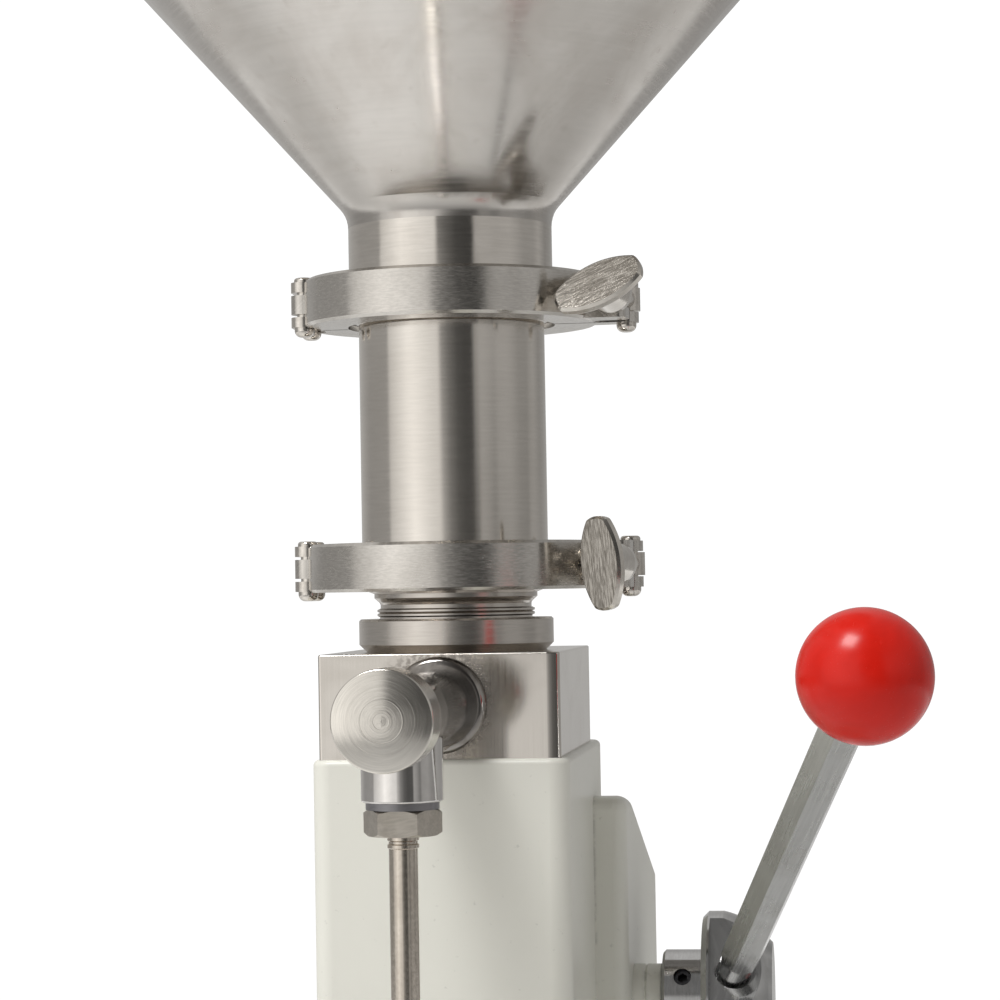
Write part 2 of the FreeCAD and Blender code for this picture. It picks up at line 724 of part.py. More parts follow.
def clamp_rear(clamp_z):
    lug = ears(REAR_EAR_X, REAR_EAR_Y, -5.4, 3.3, clamp_z)
    half = joined([half_band(clamp_z, 1), lug, hinge_lug(clamp_z, 1)])
    z = (clamp_z - 10, clamp_z + 10)
    holes = [
        pillar(RIVET_R + RUNNING, z, LINK_X, LINK_Y),
        pillar(RIVET_R + RUNNING, z, PIVOT[0], PIVOT[1]),
    ]
    return half.cut(link_room(clamp_z)).cut(Part.makeCompound(holes))


def link_plate(z):
    ends = [pillar(LINK_R, z, LINK_X, side * LINK_Y) for side in (-1, 1)]
    middle = box((LINK_X - LINK_R, LINK_X + LINK_R), (-LINK_Y, LINK_Y), z)
    holes = [pillar(RIVET_R + RUNNING, z, LINK_X, side * LINK_Y) for side in (-1, 1)]
    return joined(ends + [middle]).cut(Part.makeCompound(holes))


def clamp_links():
    plates = []
    for clamp_z in (LOWER_CLAMP_Z, UPPER_CLAMP_Z):
        for low in (LUG_HALF_HEIGHT + LINK_GAP, -LUG_HALF_HEIGHT - LINK_GAP - LINK_THICK):
            plates.append(link_plate((clamp_z + low, clamp_z + low + LINK_THICK)))
    return Part.makeCompound(plates)


def rivet(x, y, clamp_z, half_grip):
    """A rivet with a tall button head below and a low one on top."""
    low, high = clamp_z - half_grip, clamp_z + half_grip
    stem = pillar(RIVET_R, (low - 1, high + 1), x, y)
    lower = round_edges(pillar(RIVET_HEAD_R, (low - RIVET_HEAD_Z, low), x, y),
                        RIVET_HEAD_Z - 0.7, lambda edge: lies_at(edge, low - RIVET_HEAD_Z))
    upper = round_edges(pillar(RIVET_HEAD_R, (high, high + RIVET_TOP_Z), x, y),
                        RIVET_TOP_Z - 0.5, lambda edge: lies_at(edge, high + RIVET_TOP_Z))
    return joined([stem, lower, upper])


def clamp_rivets():
    rivets = []
    grip = LUG_HALF_HEIGHT + LINK_GAP + LINK_THICK
    for clamp_z in (LOWER_CLAMP_Z, UPPER_CLAMP_Z):
        for side in (-1, 1):
            rivets.append(rivet(LINK_X, side * LINK_Y, clamp_z, grip))
        rivets.append(rivet(PIVOT[0], PIVOT[1], clamp_z, EAR_HALF_HEIGHT))
    return Part.makeCompound(rivets)


def swing_bolt(clamp_z):
    eye = pillar(EYE_R, (-EYE_HALF_HEIGHT, EYE_HALF_HEIGHT))
    shank = aim(turned([
        (0, 3), (BOLT_R, 3), (BOLT_R, BOLT_LENGTH - 0.6), (BOLT_R - 0.6, BOLT_LENGTH),
        (0, BOLT_LENGTH),
    ]), FRONT, V(0, 0, 0))
    hole = pillar(RIVET_R + RUNNING, (-EYE_HALF_HEIGHT, EYE_HALF_HEIGHT))
    return in_clasp(joined([eye, shank]).cut(hole), clamp_z)


def wing_plate():
    """The long barrel-shaped plate that the fingers turn: its long side is along X."""
    half_l = WING_LENGTH / 2
    half_w = WING_WIDTH / 2
    end_w = half_w * WING_END_SHARE
    shoulder = half_l - WING_END_BULGE
    sides = [Part.Arc(V(-shoulder, way * end_w, 0), V(0, way * half_w, 0),
                      V(shoulder, way * end_w, 0)).toShape() for way in (-1, 1)]
    ends = [Part.Arc(V(way * shoulder, -end_w, 0), V(way * half_l, 0, 0),
                     V(way * shoulder, end_w, 0)).toShape() for way in (-1, 1)]
    outline = Part.Wire(Part.__sortEdges__(sides + ends))
    plate = Part.Face(outline).extrude(V(0, 0, WING_THICK))
    plate = round_edges(plate, WING_CORNER_R, is_upright)
    front = [edge for edge in plate.Edges if lies_at(edge, WING_THICK)]
    plate = plate.makeChamfer(WING_BEVEL, front)
    return round_edges(plate, WING_BACK_R, lambda edge: lies_at(edge, 0))


def wing_web(z):
    """The gusset that spreads from the hub to the back of the plate."""
    root = NUT_R - 1.4
    points = [V(-root, -WEB_HALF_THICK, z[0]), V(root, -WEB_HALF_THICK, z[0]),
              V(WEB_REACH, -WEB_HALF_THICK, z[1]), V(-WEB_REACH, -WEB_HALF_THICK, z[1])]
    return prism(points, V(0, 2 * WEB_HALF_THICK, 0))


def wing_nut(clamp_z, roll):
    start = SEAT + BODY_GAP
    hub_end = start + NUT_HUB
    neck_end = hub_end + NUT_NECK
    hub = turned([
        (0, start), (NUT_R - 0.6, start), (NUT_R, start + 0.6), (NUT_R, start + 3.5),
        (NUT_R - 0.9, hub_end), (NUT_R - 1.4, neck_end), (0, neck_end),
    ])
    plate = wing_plate()
    plate.rotate(V(0, 0, 0), RIGHT, -math.degrees(WING_TURN))
    plate.translate(V(0, 0, neck_end - 0.6))
    web = wing_web((hub_end - 3.0, neck_end + 0.8))
    nut = joined([hub, web, plate]).cut(pillar(BOLT_R + RUNNING, (0, BOLT_LENGTH + 0.4)))
    nut.rotate(V(0, 0, 0), UP, roll)
    return aim(nut, bolt_direction(), V(PIVOT[0], PIVOT[1], clamp_z))


# ---------------------------------------------------------------- piston


def gland_screw_places(z):
    return [V(side * GLAND_SCREW_X, 0, z) for side in (-1, 1)]


def rod_gland():
    top = COLUMN_TOP - COLUMN_LID
    low = top - GLAND_FLANGE
    gland = turned([
        (ROD_R + RUNNING, low), (GLAND_FLANGE_R, low), (GLAND_FLANGE_R, top),
        (SEAL_R, top), (SEAL_R, GLAND_TOP), (ROD_R + RUNNING, GLAND_TOP),
    ])
    flats = box((-GLAND_FLANGE_R, GLAND_FLANGE_R), (-GLAND_HALF_WIDTH, GLAND_HALF_WIDTH),
                (low, GLAND_TOP))
    hole_r = SMALL_SCREW_R + CLEAR
    holes = [pillar(hole_r, (low, top), p.x, p.y) for p in gland_screw_places(top)]
    return gland.common(flats).cut(Part.makeCompound(holes))


def rod_seal():
    return turned([
        (ROD_R + RUNNING, GLAND_TOP + 0.1), (SEAL_R, GLAND_TOP + 0.1),
        (SEAL_R, SEAL_ROOM_TOP - 0.1), (8.4, SEAL_ROOM_TOP - 0.1), (8.0, 387.6),
        (7.6, SEAL_ROOM_TOP - 0.1), (ROD_R + RUNNING, 388.8),
    ])


def small_screws():
    """The like screws inside the column: two hold the gland and two the rack guide."""
    screw = cap_screw(SMALL_SCREW_R, 9.0, 3.5, 4.0)
    gland_low = COLUMN_TOP - COLUMN_LID - GLAND_FLANGE
    gland = screw_group(screw, V(0, 0, -1), gland_screw_places(gland_low))
    guide = screw_group(screw, V(0, 1, 0), [V(p.x, p.y + 4, p.z) for p in guide_screw_places()])
    return Part.makeCompound(gland.Solids + guide.Solids)


def piston_rod():
    foot = RACK_TOP - ROD_FOOT
    top = PISTON_Z[1] + 9
    return turned([
        (0, foot), (ROD_FOOT_R, foot), (ROD_FOOT_R, RACK_TOP), (ROD_R, RACK_TOP),
        (ROD_R, PISTON_BOSS_BOTTOM - 2), (ROD_SPIGOT_R, PISTON_BOSS_BOTTOM - 2),
        (ROD_SPIGOT_R, top - 0.8), (ROD_SPIGOT_R - 0.8, top), (0, top),
    ]).cut(shaft(SMALL_SCREW_R, (-ROD_R, ROD_R), 0, RACK_TOP - RACK_PIN_DROP))


def piston_head():
    bore = ROD_SPIGOT_R + SNUG
    body = turned([
        (bore, PISTON_BOSS_BOTTOM), (PISTON_BOSS_R, PISTON_BOSS_BOTTOM),
        (PISTON_BOSS_R, PISTON_Z[0]), (PISTON_R, PISTON_Z[0]),
        (PISTON_R, SEAL_Z[0]), (SEAL_GROOVE_R, SEAL_Z[0]),
        (SEAL_GROOVE_R, SEAL_Z[0] + SEAL_HEIGHT), (PISTON_R, SEAL_Z[0] + SEAL_HEIGHT),
        (PISTON_R, SEAL_Z[1]), (SEAL_GROOVE_R, SEAL_Z[1]),
        (SEAL_GROOVE_R, SEAL_Z[1] + SEAL_HEIGHT), (PISTON_R, SEAL_Z[1] + SEAL_HEIGHT),
        (PISTON_R, PISTON_Z[1] - 1), (PISTON_R - 1, PISTON_Z[1]), (bore, PISTON_Z[1]),
    ])
    ports = []
    for i in range(PORT_COUNT):
        angle = 2 * math.pi * i / PORT_COUNT
        x, y = PORT_CIRCLE_R * math.cos(angle), PORT_CIRCLE_R * math.sin(angle)
        ports.append(pillar(PORT_R, PISTON_Z, x, y))
    return body.cut(Part.makeCompound(ports))


def piston_seals():
    rings = []
    for z in SEAL_Z:
        low, high = z + 0.05, z + SEAL_HEIGHT - 0.05
        rings.append(turned([
            (SEAL_GROOVE_R + 0.05, low), (TUBE_BORE_R - RUNNING, low),
            (TUBE_BORE_R - RUNNING, high), (SEAL_GROOVE_R + 0.05, high),
        ]))
    return Part.makeCompound(rings)


def valve_disc():
    low = PISTON_BOSS_BOTTOM + 0.05
    return turned([
        (PISTON_BOSS_R + RUNNING, low), (DISC_R, low + 0.6), (DISC_R, low + DISC_THICK),
        (PISTON_BOSS_R + RUNNING, low + DISC_THICK),
    ])


def valve_stop_washer():
    low = PISTON_BOSS_BOTTOM - 2
    return turned([
        (ROD_SPIGOT_R + SNUG, low), (11.5, low), (12.0, low + 0.5), (12.0, low + 1.5),
        (11.5, low + 2), (ROD_SPIGOT_R + SNUG, low + 2),
    ])


def piston_nut():
    z = (PISTON_Z[1], PISTON_Z[1] + 7)
    nut = hexagon(16.0, z).common(turned([
        (0, z[0]), (9.3, z[0]), (9.3, z[1] - 0.7), (8.2, z[1]), (0, z[1]),
    ]))
    return nut.cut(pillar(ROD_SPIGOT_R + SNUG, z))


# ---------------------------------------------------------------- gear drive


def rack_tooth(z):
    """One rack tooth as a closed outline about height z, with straight flanks."""
    half = RACK_PITCH / 4 - TOOTH_THINNING
    lean = math.tan(PRESSURE_ANGLE)
    root_y, tip_y = RACK_PITCH_Y - 1.25 * MODULE - 0.5, RACK_PITCH_Y + MODULE
    root_half = half + (RACK_PITCH_Y - root_y) * lean
    tip_half = half - MODULE * lean
    x = -RACK_HALF_WIDTH
    return [
        V(x, root_y, z - root_half), V(x, tip_y, z - tip_half),
        V(x, tip_y, z + tip_half), V(x, root_y, z + root_half),
    ]


def rack():
    width = V(2 * RACK_HALF_WIDTH, 0, 0)
    root_y = RACK_PITCH_Y - 1.25 * MODULE
    bar = box((-RACK_HALF_WIDTH, RACK_HALF_WIDTH), (RACK_BACK, root_y), (RACK_BOTTOM, RACK_TOP))
    first = RACK_BOTTOM + RACK_PITCH / 2
    teeth = [prism(rack_tooth(first + i * RACK_PITCH), width) for i in range(RACK_TEETH)]
    body = joined([bar] + teeth)
    cuts = [
        pillar(ROD_FOOT_R + SNUG, (RACK_TOP - ROD_FOOT, RACK_TOP)),
        shaft(SMALL_SCREW_R + SNUG, (-RACK_HALF_WIDTH, RACK_HALF_WIDTH), 0,
              RACK_TOP - RACK_PIN_DROP),
        pillar(STOP_THREAD_R, (RACK_BOTTOM, RACK_BOTTOM + 12)),
    ]
    return body.cut(Part.makeCompound(cuts))


def rack_pin():
    half = RACK_HALF_WIDTH - CLEAR
    return shaft(SMALL_SCREW_R, (-half, half), 0, RACK_TOP - RACK_PIN_DROP)


def guide_screw_places():
    return [V(0, COLUMN_Y[0] + BODY_WALL, z) for z in GUIDE_SCREW_Z]


def rack_guide():
    wall = COLUMN_Y[0] + BODY_WALL
    web_front = RACK_BACK - RUNNING
    inner = RACK_HALF_WIDTH + RUNNING
    guide = box((-GUIDE_X, GUIDE_X), (wall, 3.0), GUIDE_Z)
    guide = guide.cut(box((-inner, inner), (web_front, 4.0), GUIDE_Z))
    holes = []
    for place in guide_screw_places():
        holes.append(forward_rod(SMALL_SCREW_R + CLEAR, (web_front, wall), place.x, place.z))
        holes.append(forward_rod(3.8, (web_front, wall + 4), place.x, place.z))
    return guide.cut(Part.makeCompound(holes))


def flank_angle(radius):
    """Half the angle that a gear tooth spans at a radius: its flank is an involute."""
    base_r = PITCH_R * math.cos(PRESSURE_ANGLE)
    angle = math.acos(min(1.0, base_r / radius))
    at_pitch = math.pi / (2 * GEAR_TEETH) - TOOTH_THINNING / PITCH_R
    involute = math.tan(PRESSURE_ANGLE) - PRESSURE_ANGLE
    return at_pitch + involute - (math.tan(angle) - angle)


def gear_point(radius, angle):
    """A point of the gear's outline, with angle 0 towards the rack."""
    return V(0, SHAFT_Y - radius * math.cos(angle), SHAFT_Z + radius * math.sin(angle))


def gear_outline():
    root_r = PITCH_R * math.cos(PRESSURE_ANGLE)
    tip_r = PITCH_R + MODULE
    radii = [root_r + (tip_r - root_r) * i / 5 for i in range(6)]
    pitch = 2 * math.pi / GEAR_TEETH
    edges = []
    for tooth in range(GEAR_TEETH):
        middle = tooth * pitch
        rising = [gear_point(r, middle - flank_angle(r)) for r in radii]
        falling = [gear_point(r, middle + flank_angle(r)) for r in radii[::-1]]
        next_start = gear_point(root_r, middle + pitch - flank_angle(root_r))
        for flank in (rising, falling):
            curve = Part.BSplineCurve()
            curve.interpolate(flank)
            edges.append(curve.toShape())
        edges.insert(-1, Part.Arc(rising[-1], gear_point(tip_r, middle), falling[0]).toShape())
        root_middle = gear_point(root_r, middle + pitch / 2)
        edges.append(Part.Arc(falling[-1], root_middle, next_start).toShape())
    return Part.Wire(edges)


def drive_gear():
    blank = Part.Face(gear_outline()).extrude(V(2 * GEAR_HALF_WIDTH, 0, 0))
    blank.translate(V(-GEAR_HALF_WIDTH, 0, 0))
    hub = shaft(GEAR_HUB_R, GEAR_HUB_X)
    gear = blank.fuse(hub)
    holes = [shaft(SHAFT_R + SNUG, GEAR_HUB_X), gear_pin_hole()]
    for i in range(GEAR_HOLE_COUNT):
        angle = 2 * math.pi * (i + 0.5) / GEAR_HOLE_COUNT
        y = SHAFT_Y + GEAR_HOLE_CIRCLE_R * math.cos(angle)
        z = SHAFT_Z + GEAR_HOLE_CIRCLE_R * math.sin(angle)
        holes.append(shaft(GEAR_HOLE_R, (-GEAR_HALF_WIDTH, GEAR_HALF_WIDTH), y, z))
    return gear.cut(Part.makeCompound(holes))


def gear_pin_hole():
    """The cross hole through the gear's hub and the shaft."""
    z = (SHAFT_Z - GEAR_HUB_R - 1, SHAFT_Z + GEAR_HUB_R + 1)
    return pillar(GEAR_PIN_R, z, GEAR_PIN_X, SHAFT_Y)


def gear_pin():
    z = (SHAFT_Z - GEAR_PIN_HALF, SHAFT_Z + GEAR_PIN_HALF)
    return pillar(GEAR_PIN_R - SNUG, z, GEAR_PIN_X, SHAFT_Y)


def drive_shaft():
    bar = shaft(SHAFT_R, (-30.5, SHAFT_END))
    flat = box((HUB_START, SHAFT_END), (-20, -5.2), (-20, 20))
    flat.rotate(V(0, 0, 0), RIGHT, -math.degrees(LEVER_RISE))
    flat.translate(V(0, SHAFT_Y, SHAFT_Z))
    return bar.cut(flat).cut(gear_pin_hole())


def right_bushing():
    bore = SHAFT_R + RUNNING
    end = BUSHING_END - RIGHT_BEARING_START
    sleeve = turned([
        (bore, 0), (BUSHING_R, 0), (BUSHING_R, end - 4.9), (BUSHING_R - 0.5, end - 4.5),
        (BUSHING_R, end - 4.1), (BUSHING_R, end - 0.3), (BUSHING_R - 0.3, end), (bore, end),
    ])
    return aim(sleeve, RIGHT, V(RIGHT_BEARING_START, SHAFT_Y, SHAFT_Z))


def left_bushing():
    x = (LEFT_BEARING_X[0], LEFT_BEARING_X[1] + CLEAR)
    return shaft(LEFT_BUSHING_R, x).cut(shaft(SHAFT_R + RUNNING, x))


def shaft_spacer():
    return shaft(SPACER_R, SPACER_X).cut(shaft(SHAFT_R + SNUG, SPACER_X))


# ---------------------------------------------------------------- lever


def lever_direction():
    forward = math.cos(LEVER_OUT)
    return V(
        math.sin(LEVER_OUT),
        -forward * math.cos(LEVER_RISE),
        forward * math.sin(LEVER_RISE),
    )


def lever_root():
    """Where the lever's axis meets the flat milled on the hub."""
    return V(
        LEVER_ROOT_X,
        SHAFT_Y - LEVER_FLAT * math.cos(LEVER_RISE),
        SHAFT_Z + LEVER_FLAT * math.sin(LEVER_RISE),
    )


def hub_direction():
    """The way that the hub's flat and its set screw face."""
    return V(0, -math.cos(LEVER_RISE), math.sin(LEVER_RISE))


def hub_blank():
    """The hub as it is turned: a neck, then a domed head."""
    neck = turned([
        (0, HUB_START), (HUB_NECK_R - 0.8, HUB_START), (HUB_NECK_R, HUB_START + 0.8),
        (HUB_NECK_R, HUB_NECK_END), (0, HUB_NECK_END),
    ])
    points = [
        V(0, 0, HUB_NECK_END), V(HUB_R - 1.6, 0, HUB_NECK_END),
        V(HUB_R, 0, HUB_NECK_END + 1.6), V(HUB_R, 0, HUB_NECK_END + 5.9),
    ]
    dome_end = V(HUB_END_R, 0, HUB_END - 1.0)
    dome_middle = V(HUB_R - 2.6, 0, HUB_NECK_END + 12.5)
    edges = [Part.makeLine(points[i], points[i + 1]) for i in range(3)]
    edges.append(Part.Arc(points[-1], dome_middle, dome_end).toShape())
    edges.append(Part.makeLine(dome_end, V(HUB_END_R - 1.0, 0, HUB_END)))
    edges.append(Part.makeLine(V(HUB_END_R - 1.0, 0, HUB_END), V(0, 0, HUB_END)))
    edges.append(Part.makeLine(V(0, 0, HUB_END), points[0]))
    head = Part.Face(Part.Wire(edges)).revolve(V(0, 0, 0), UP, 360)
    return aim(joined([neck, head]), RIGHT, V(0, SHAFT_Y, SHAFT_Z))


def lever_hub():
    flat = box((HUB_NECK_END + HUB_RIM, HUB_END + 1), (-40, -LEVER_FLAT), (-40, 40))
    flat.rotate(V(0, 0, 0), RIGHT, -math.degrees(LEVER_RISE))
    flat.translate(V(0, SHAFT_Y, SHAFT_Z))
    hub = hub_blank().cut(flat)
    mouth = aim(pillar(LEVER_HOLE_R, (-4.5, 12)), lever_direction(), lever_root())
    socket = aim(pillar(LEVER_SPIGOT_R + SNUG, (-17, 12)), lever_direction(), lever_root())
    screw_hole = aim(pillar(SET_SCREW_R + THREAD_PLAY, (SHAFT_R - 1.5, 14)),
                     hub_direction(), V(SET_SCREW_X, SHAFT_Y, SHAFT_Z))
    bore = shaft(SHAFT_R + SNUG, (HUB_START, SHAFT_END + BODY_GAP))
    return hub.cut(bore).cut(mouth).cut(socket).cut(screw_hole)


def hub_set_screw():
    screw = pillar(SET_SCREW_R, (5.25, HUB_NECK_R - 1.2))
    screw = screw.cut(hexagon(2.5, (HUB_NECK_R - 3.6, HUB_NECK_R - 1.2)))
    return aim(screw, hub_direction(), V(SET_SCREW_X, SHAFT_Y, SHAFT_Z))


def lever_rod():
    hex_end = BALL_DISTANCE - BALL_R - 0.6
    bar = hexagon(LEVER_HEX, (HEX_START, hex_end), HEX_ROLL)
    corner = LEVER_HEX / math.sqrt(3)
    cone = turned([
        (0, HEX_START), (LEVER_SPIGOT_R, HEX_START), (corner + 0.1, HEX_START + 2.6),
        (corner + 0.1, hex_end), (0, hex_end),
    ])
    spigot = turned([
        (0, -16.8), (LEVER_SPIGOT_R - 0.8, -16.8), (LEVER_SPIGOT_R, -16.0),
        (LEVER_SPIGOT_R, HEX_START + 1), (0, HEX_START + 1),
    ])
    thread = pillar(KNOB_THREAD_R, (hex_end - 1, BALL_DISTANCE + 3))
    return aim(joined([bar.common(cone), spigot, thread]), lever_direction(), lever_root())


def ball_knob():
    ball = Part.makeSphere(BALL_R, V(0, 0, BALL_DISTANCE))
    flat = pillar(BALL_R, (BALL_DISTANCE - BALL_R - 1, BALL_DISTANCE - BALL_R + 1.6))
    neck = pillar(KNOB_NECK_R, (BALL_DISTANCE - BALL_R - 0.6, BALL_DISTANCE - BALL_R + 3))
    bore = pillar(KNOB_THREAD_R + SNUG, (BALL_DISTANCE - BALL_R - 1, BALL_DISTANCE + 4))
    knob = joined([ball.cut(flat), neck]).cut(bore)
    return aim(knob, lever_direction(), lever_root())


# ---------------------------------------------------------------- outlet and nozzle


def outlet_body():
    tube = forward_rod(OUTLET_R, (BLOCK_Y[0], CAP_BACK + 0.2))
    spigot = forward_rod(SPIGOT_R - THREAD_PLAY, (BLOCK_Y[0] + SPIGOT_DEPTH - CLEAR, BLOCK_Y[0] - 1))
    thread = forward_rod(CAP_THREAD_R, (CAP_BACK + 2, CAP_FRONT + 6))
    bead = round_edges(pillar(WELD_R, (0, WELD_RISE)), WELD_ROUND,
                       lambda edge: lies_at(edge, WELD_RISE))
    weld = aim(bead, FRONT, V(0, BLOCK_Y[0], OUTLET_Z))
    boss = pillar(BOSS_R, (BOSS_BOTTOM, BOSS_TOP), 0, BOSS_Y)
    boss = round_edges(boss, 0.5, lambda edge: lies_at(edge, BOSS_TOP) or
                       lies_at(edge, BOSS_BOTTOM))
    body = joined([tube, spigot, thread, weld, boss])
    cuts = [
        forward_rod(OUTLET_BORE_R, (BLOCK_Y[0] + SPIGOT_DEPTH, SEAT_FACE_Y)),
        forward_rod(BALL_CHAMBER_R, (SEAT_FACE_Y + 5, CAP_FRONT)),
        pillar(4.0, (BOSS_BOTTOM, OUTLET_Z), 0, BOSS_Y),
        pillar(NUT_THREAD_R + THREAD_PLAY, (BOSS_BOTTOM, BOSS_BOTTOM + 8), 0, BOSS_Y),
    ]
    return body.cut(Part.makeCompound(cuts))


def outlet_seat():
    seat = turned([
        (SEAT_BORE_R, 0), (BALL_CHAMBER_R - SNUG, 0), (BALL_CHAMBER_R - SNUG, SEAT_DEPTH),
        (SEAT_MOUTH_R, SEAT_DEPTH), (SEAT_BORE_R, SEAT_DEPTH - 0.8),
    ])
    return aim(seat, FRONT, V(0, SEAT_FACE_Y + SEAT_DEPTH + 0.1, OUTLET_Z))


def check_ball_y():
    """The ball's centre when it rests on the rim of its seat."""
    rim_y = SEAT_FACE_Y + 0.1
    return rim_y - math.sqrt(CHECK_BALL_R ** 2 - SEAT_MOUTH_R ** 2) - BODY_GAP


def outlet_ball():
    return Part.makeSphere(CHECK_BALL_R, V(0, check_ball_y(), OUTLET_Z))


def outlet_spring():
    start = check_ball_y() - CHECK_BALL_R - 0.1
    length = start - (CAP_FRONT + CAP_FACE + 0.1) - 2 * SPRING_WIRE_R
    path = Part.makeHelix(length / SPRING_TURNS, length, SPRING_R)
    circle = Part.Wire(Part.makeCircle(SPRING_WIRE_R, V(SPRING_R, 0, 0), V(0, 1, 0)))
    coil = path.makePipeShell([circle], True, True)
    return aim(coil, FRONT, V(0, start - SPRING_WIRE_R, OUTLET_Z))


def outlet_cap():
    """The round screw cap, with a gently domed face."""
    depth = abs(CAP_FRONT - CAP_BACK)
    rim = depth - CAP_DOME
    inner_r = CAP_THREAD_R + THREAD_PLAY
    cap = turned([(inner_r, 0), (CAP_R - 0.8, 0), (CAP_R, 0.8), (CAP_R, depth), (0, depth),
                  (0, depth - CAP_FACE), (inner_r, depth - CAP_FACE)])
    face_r = (CAP_R ** 2 + CAP_DOME ** 2) / (2 * CAP_DOME)
    dome = Part.makeSphere(face_r, V(0, 0, depth - face_r))
    cap = cap.common(dome)
    cap = round_edges(cap, CAP_EDGE_R, lambda edge: lies_at(edge, rim))
    return aim(cap, FRONT, V(0, CAP_BACK, OUTLET_Z))


def cap_seal():
    low = CAP_FRONT + CAP_FACE + 0.1
    y = (low + 1.4, low)
    return forward_rod(CAP_THREAD_R - CLEAR, y).cut(forward_rod(BALL_CHAMBER_R, y))


def nozzle_washer():
    z = (NUT_TOP, BOSS_BOTTOM)
    inner_r = NUT_THREAD_R + THREAD_PLAY
    return pillar(WASHER_R, z, 0, BOSS_Y).cut(pillar(inner_r, z, 0, BOSS_Y))


def nozzle_nut():
    low, high = NUT_BOTTOM, NUT_TOP
    corner = NUT_FLATS / math.sqrt(3)
    nut = hexagon(NUT_FLATS, (low, high)).common(turned([
        (0, low), (corner - 1.2, low), (corner, low + 0.8), (corner, high - 0.8),
        (corner - 1.2, high), (0, high),
    ]))
    thread = pillar(NUT_THREAD_R, (high, NUT_THREAD_TOP))
    nut = joined([nut, thread]).cut(pillar(NOZZLE_R + SNUG, (low, NUT_THREAD_TOP)))
    nut.translate(V(0, BOSS_Y, 0))
    return nut


def nozzle_tube():
    top = NUT_THREAD_TOP
    ring_r = NOZZLE_R + NOZZLE_RING_RISE
    tube = turned([
        (NOZZLE_BORE_R, NOZZLE_TIP), (NOZZLE_R - 0.4, NOZZLE_TIP), (NOZZLE_R, NOZZLE_TIP + 0.4),
        (NOZZLE_R, NUT_BOTTOM - 3.2), (ring_r, NUT_BOTTOM - 2.9), (ring_r, NUT_BOTTOM - 2.2),
        (NOZZLE_R, NUT_BOTTOM - 1.9), (NOZZLE_R, NUT_BOTTOM - 1.4), (ring_r, NUT_BOTTOM - 1.1),
        (ring_r, NUT_BOTTOM - 0.4), (NOZZLE_R, NUT_BOTTOM - 0.1),
        (NOZZLE_R, top), (5.6, top), (5.6, top + 1.5), (NOZZLE_BORE_R, top + 1.5),
    ])
    tube.translate(V(0, BOSS_Y, 0))
    return tube


# ---------------------------------------------------------------- stroke stop


def stop_rod():
    return turned([
        (0, STOP_ROD_BOTTOM), (STOP_ROD_R - 0.8, STOP_ROD_BOTTOM),
        (STOP_ROD_R, STOP_ROD_BOTTOM + 0.8), (STOP_ROD_R, RACK_BOTTOM),
        (STOP_THREAD_R - RUNNING, RACK_BOTTOM), (STOP_THREAD_R - RUNNING, RACK_BOTTOM + 11.5),
        (0, RACK_BOTTOM + 11.5),
    ])


def stop_block():
    wall = COLUMN_Y[0] + BODY_WALL
    block = box((-11.0, 11.0), (wall, 9.0), STOP_BLOCK_Z)
    half = STOP_SLOT_HALF - CLEAR
    tongue = box((-half, half), (COLUMN_Y[0] + 1, wall), STOP_BLOCK_Z)
    middle = sum(STOP_BLOCK_Z) / 2
    hole = forward_rod(STOP_STUD_R + THREAD_PLAY, (wall + 14, COLUMN_Y[0]), 0, middle)
    return joined([block, tongue]).cut(hole)


def stop_knob():
    """A knurled clamping knob with its stud."""
    middle = sum(STOP_BLOCK_Z) / 2
    knob = turned([
        (0, 0.6), (7.5, 0.6), (7.5, 4), (KNOB_R - 0.8, 4), (KNOB_R, 4.8), (KNOB_R, 13.2),
        (KNOB_R - 0.8, 14), (0, 14),
    ])
    grooves = []
    circle_r = KNOB_R + 0.3
    for i in range(KNOB_GROOVES):
        angle = 2 * math.pi * i / KNOB_GROOVES
        x, y = circle_r * math.cos(angle), circle_r * math.sin(angle)
        grooves.append(pillar(0.9, (3, 15), x, y))
    knob = knob.cut(Part.makeCompound(grooves))
    stud = pillar(STOP_STUD_R, (-18, 1))
    return aim(joined([knob, stud]), FRONT, V(0, COLUMN_Y[0], middle))


def scale_screw_places():
    return [(SCALE_SCREW_X, z) for z in SCALE_SCREW_Z]


def scale_plate():
    """A thin plate beside the slot, with a long mark for every fifth step of the scale."""
    face = COLUMN_Y[0] - SCALE_THICK
    plate = box(SCALE_X, (face, COLUMN_Y[0]), SCALE_Z)
    cuts = []
    for i in range(SCALE_MARKS):
        z = SCALE_FIRST_MARK + i * SCALE_STEP
        length = 6.5 if i % 5 == 0 else 3.5
        cuts.append(box((SCALE_X[0], SCALE_X[0] + length), (face, face + 0.2), (z, z + 0.5)))
    for x, z in scale_screw_places():
        cuts.append(forward_rod(SCALE_SCREW_R + RUNNING, (COLUMN_Y[0], face), x, z))
    return plate.cut(Part.makeCompound(cuts))


def scale_screws():
    screw = cap_screw(SCALE_SCREW_R, 5.0, 2.2, 1.4)
    places = [V(x, COLUMN_Y[0] - SCALE_THICK, z) for x, z in scale_screw_places()]
    return screw_group(screw, FRONT, places)


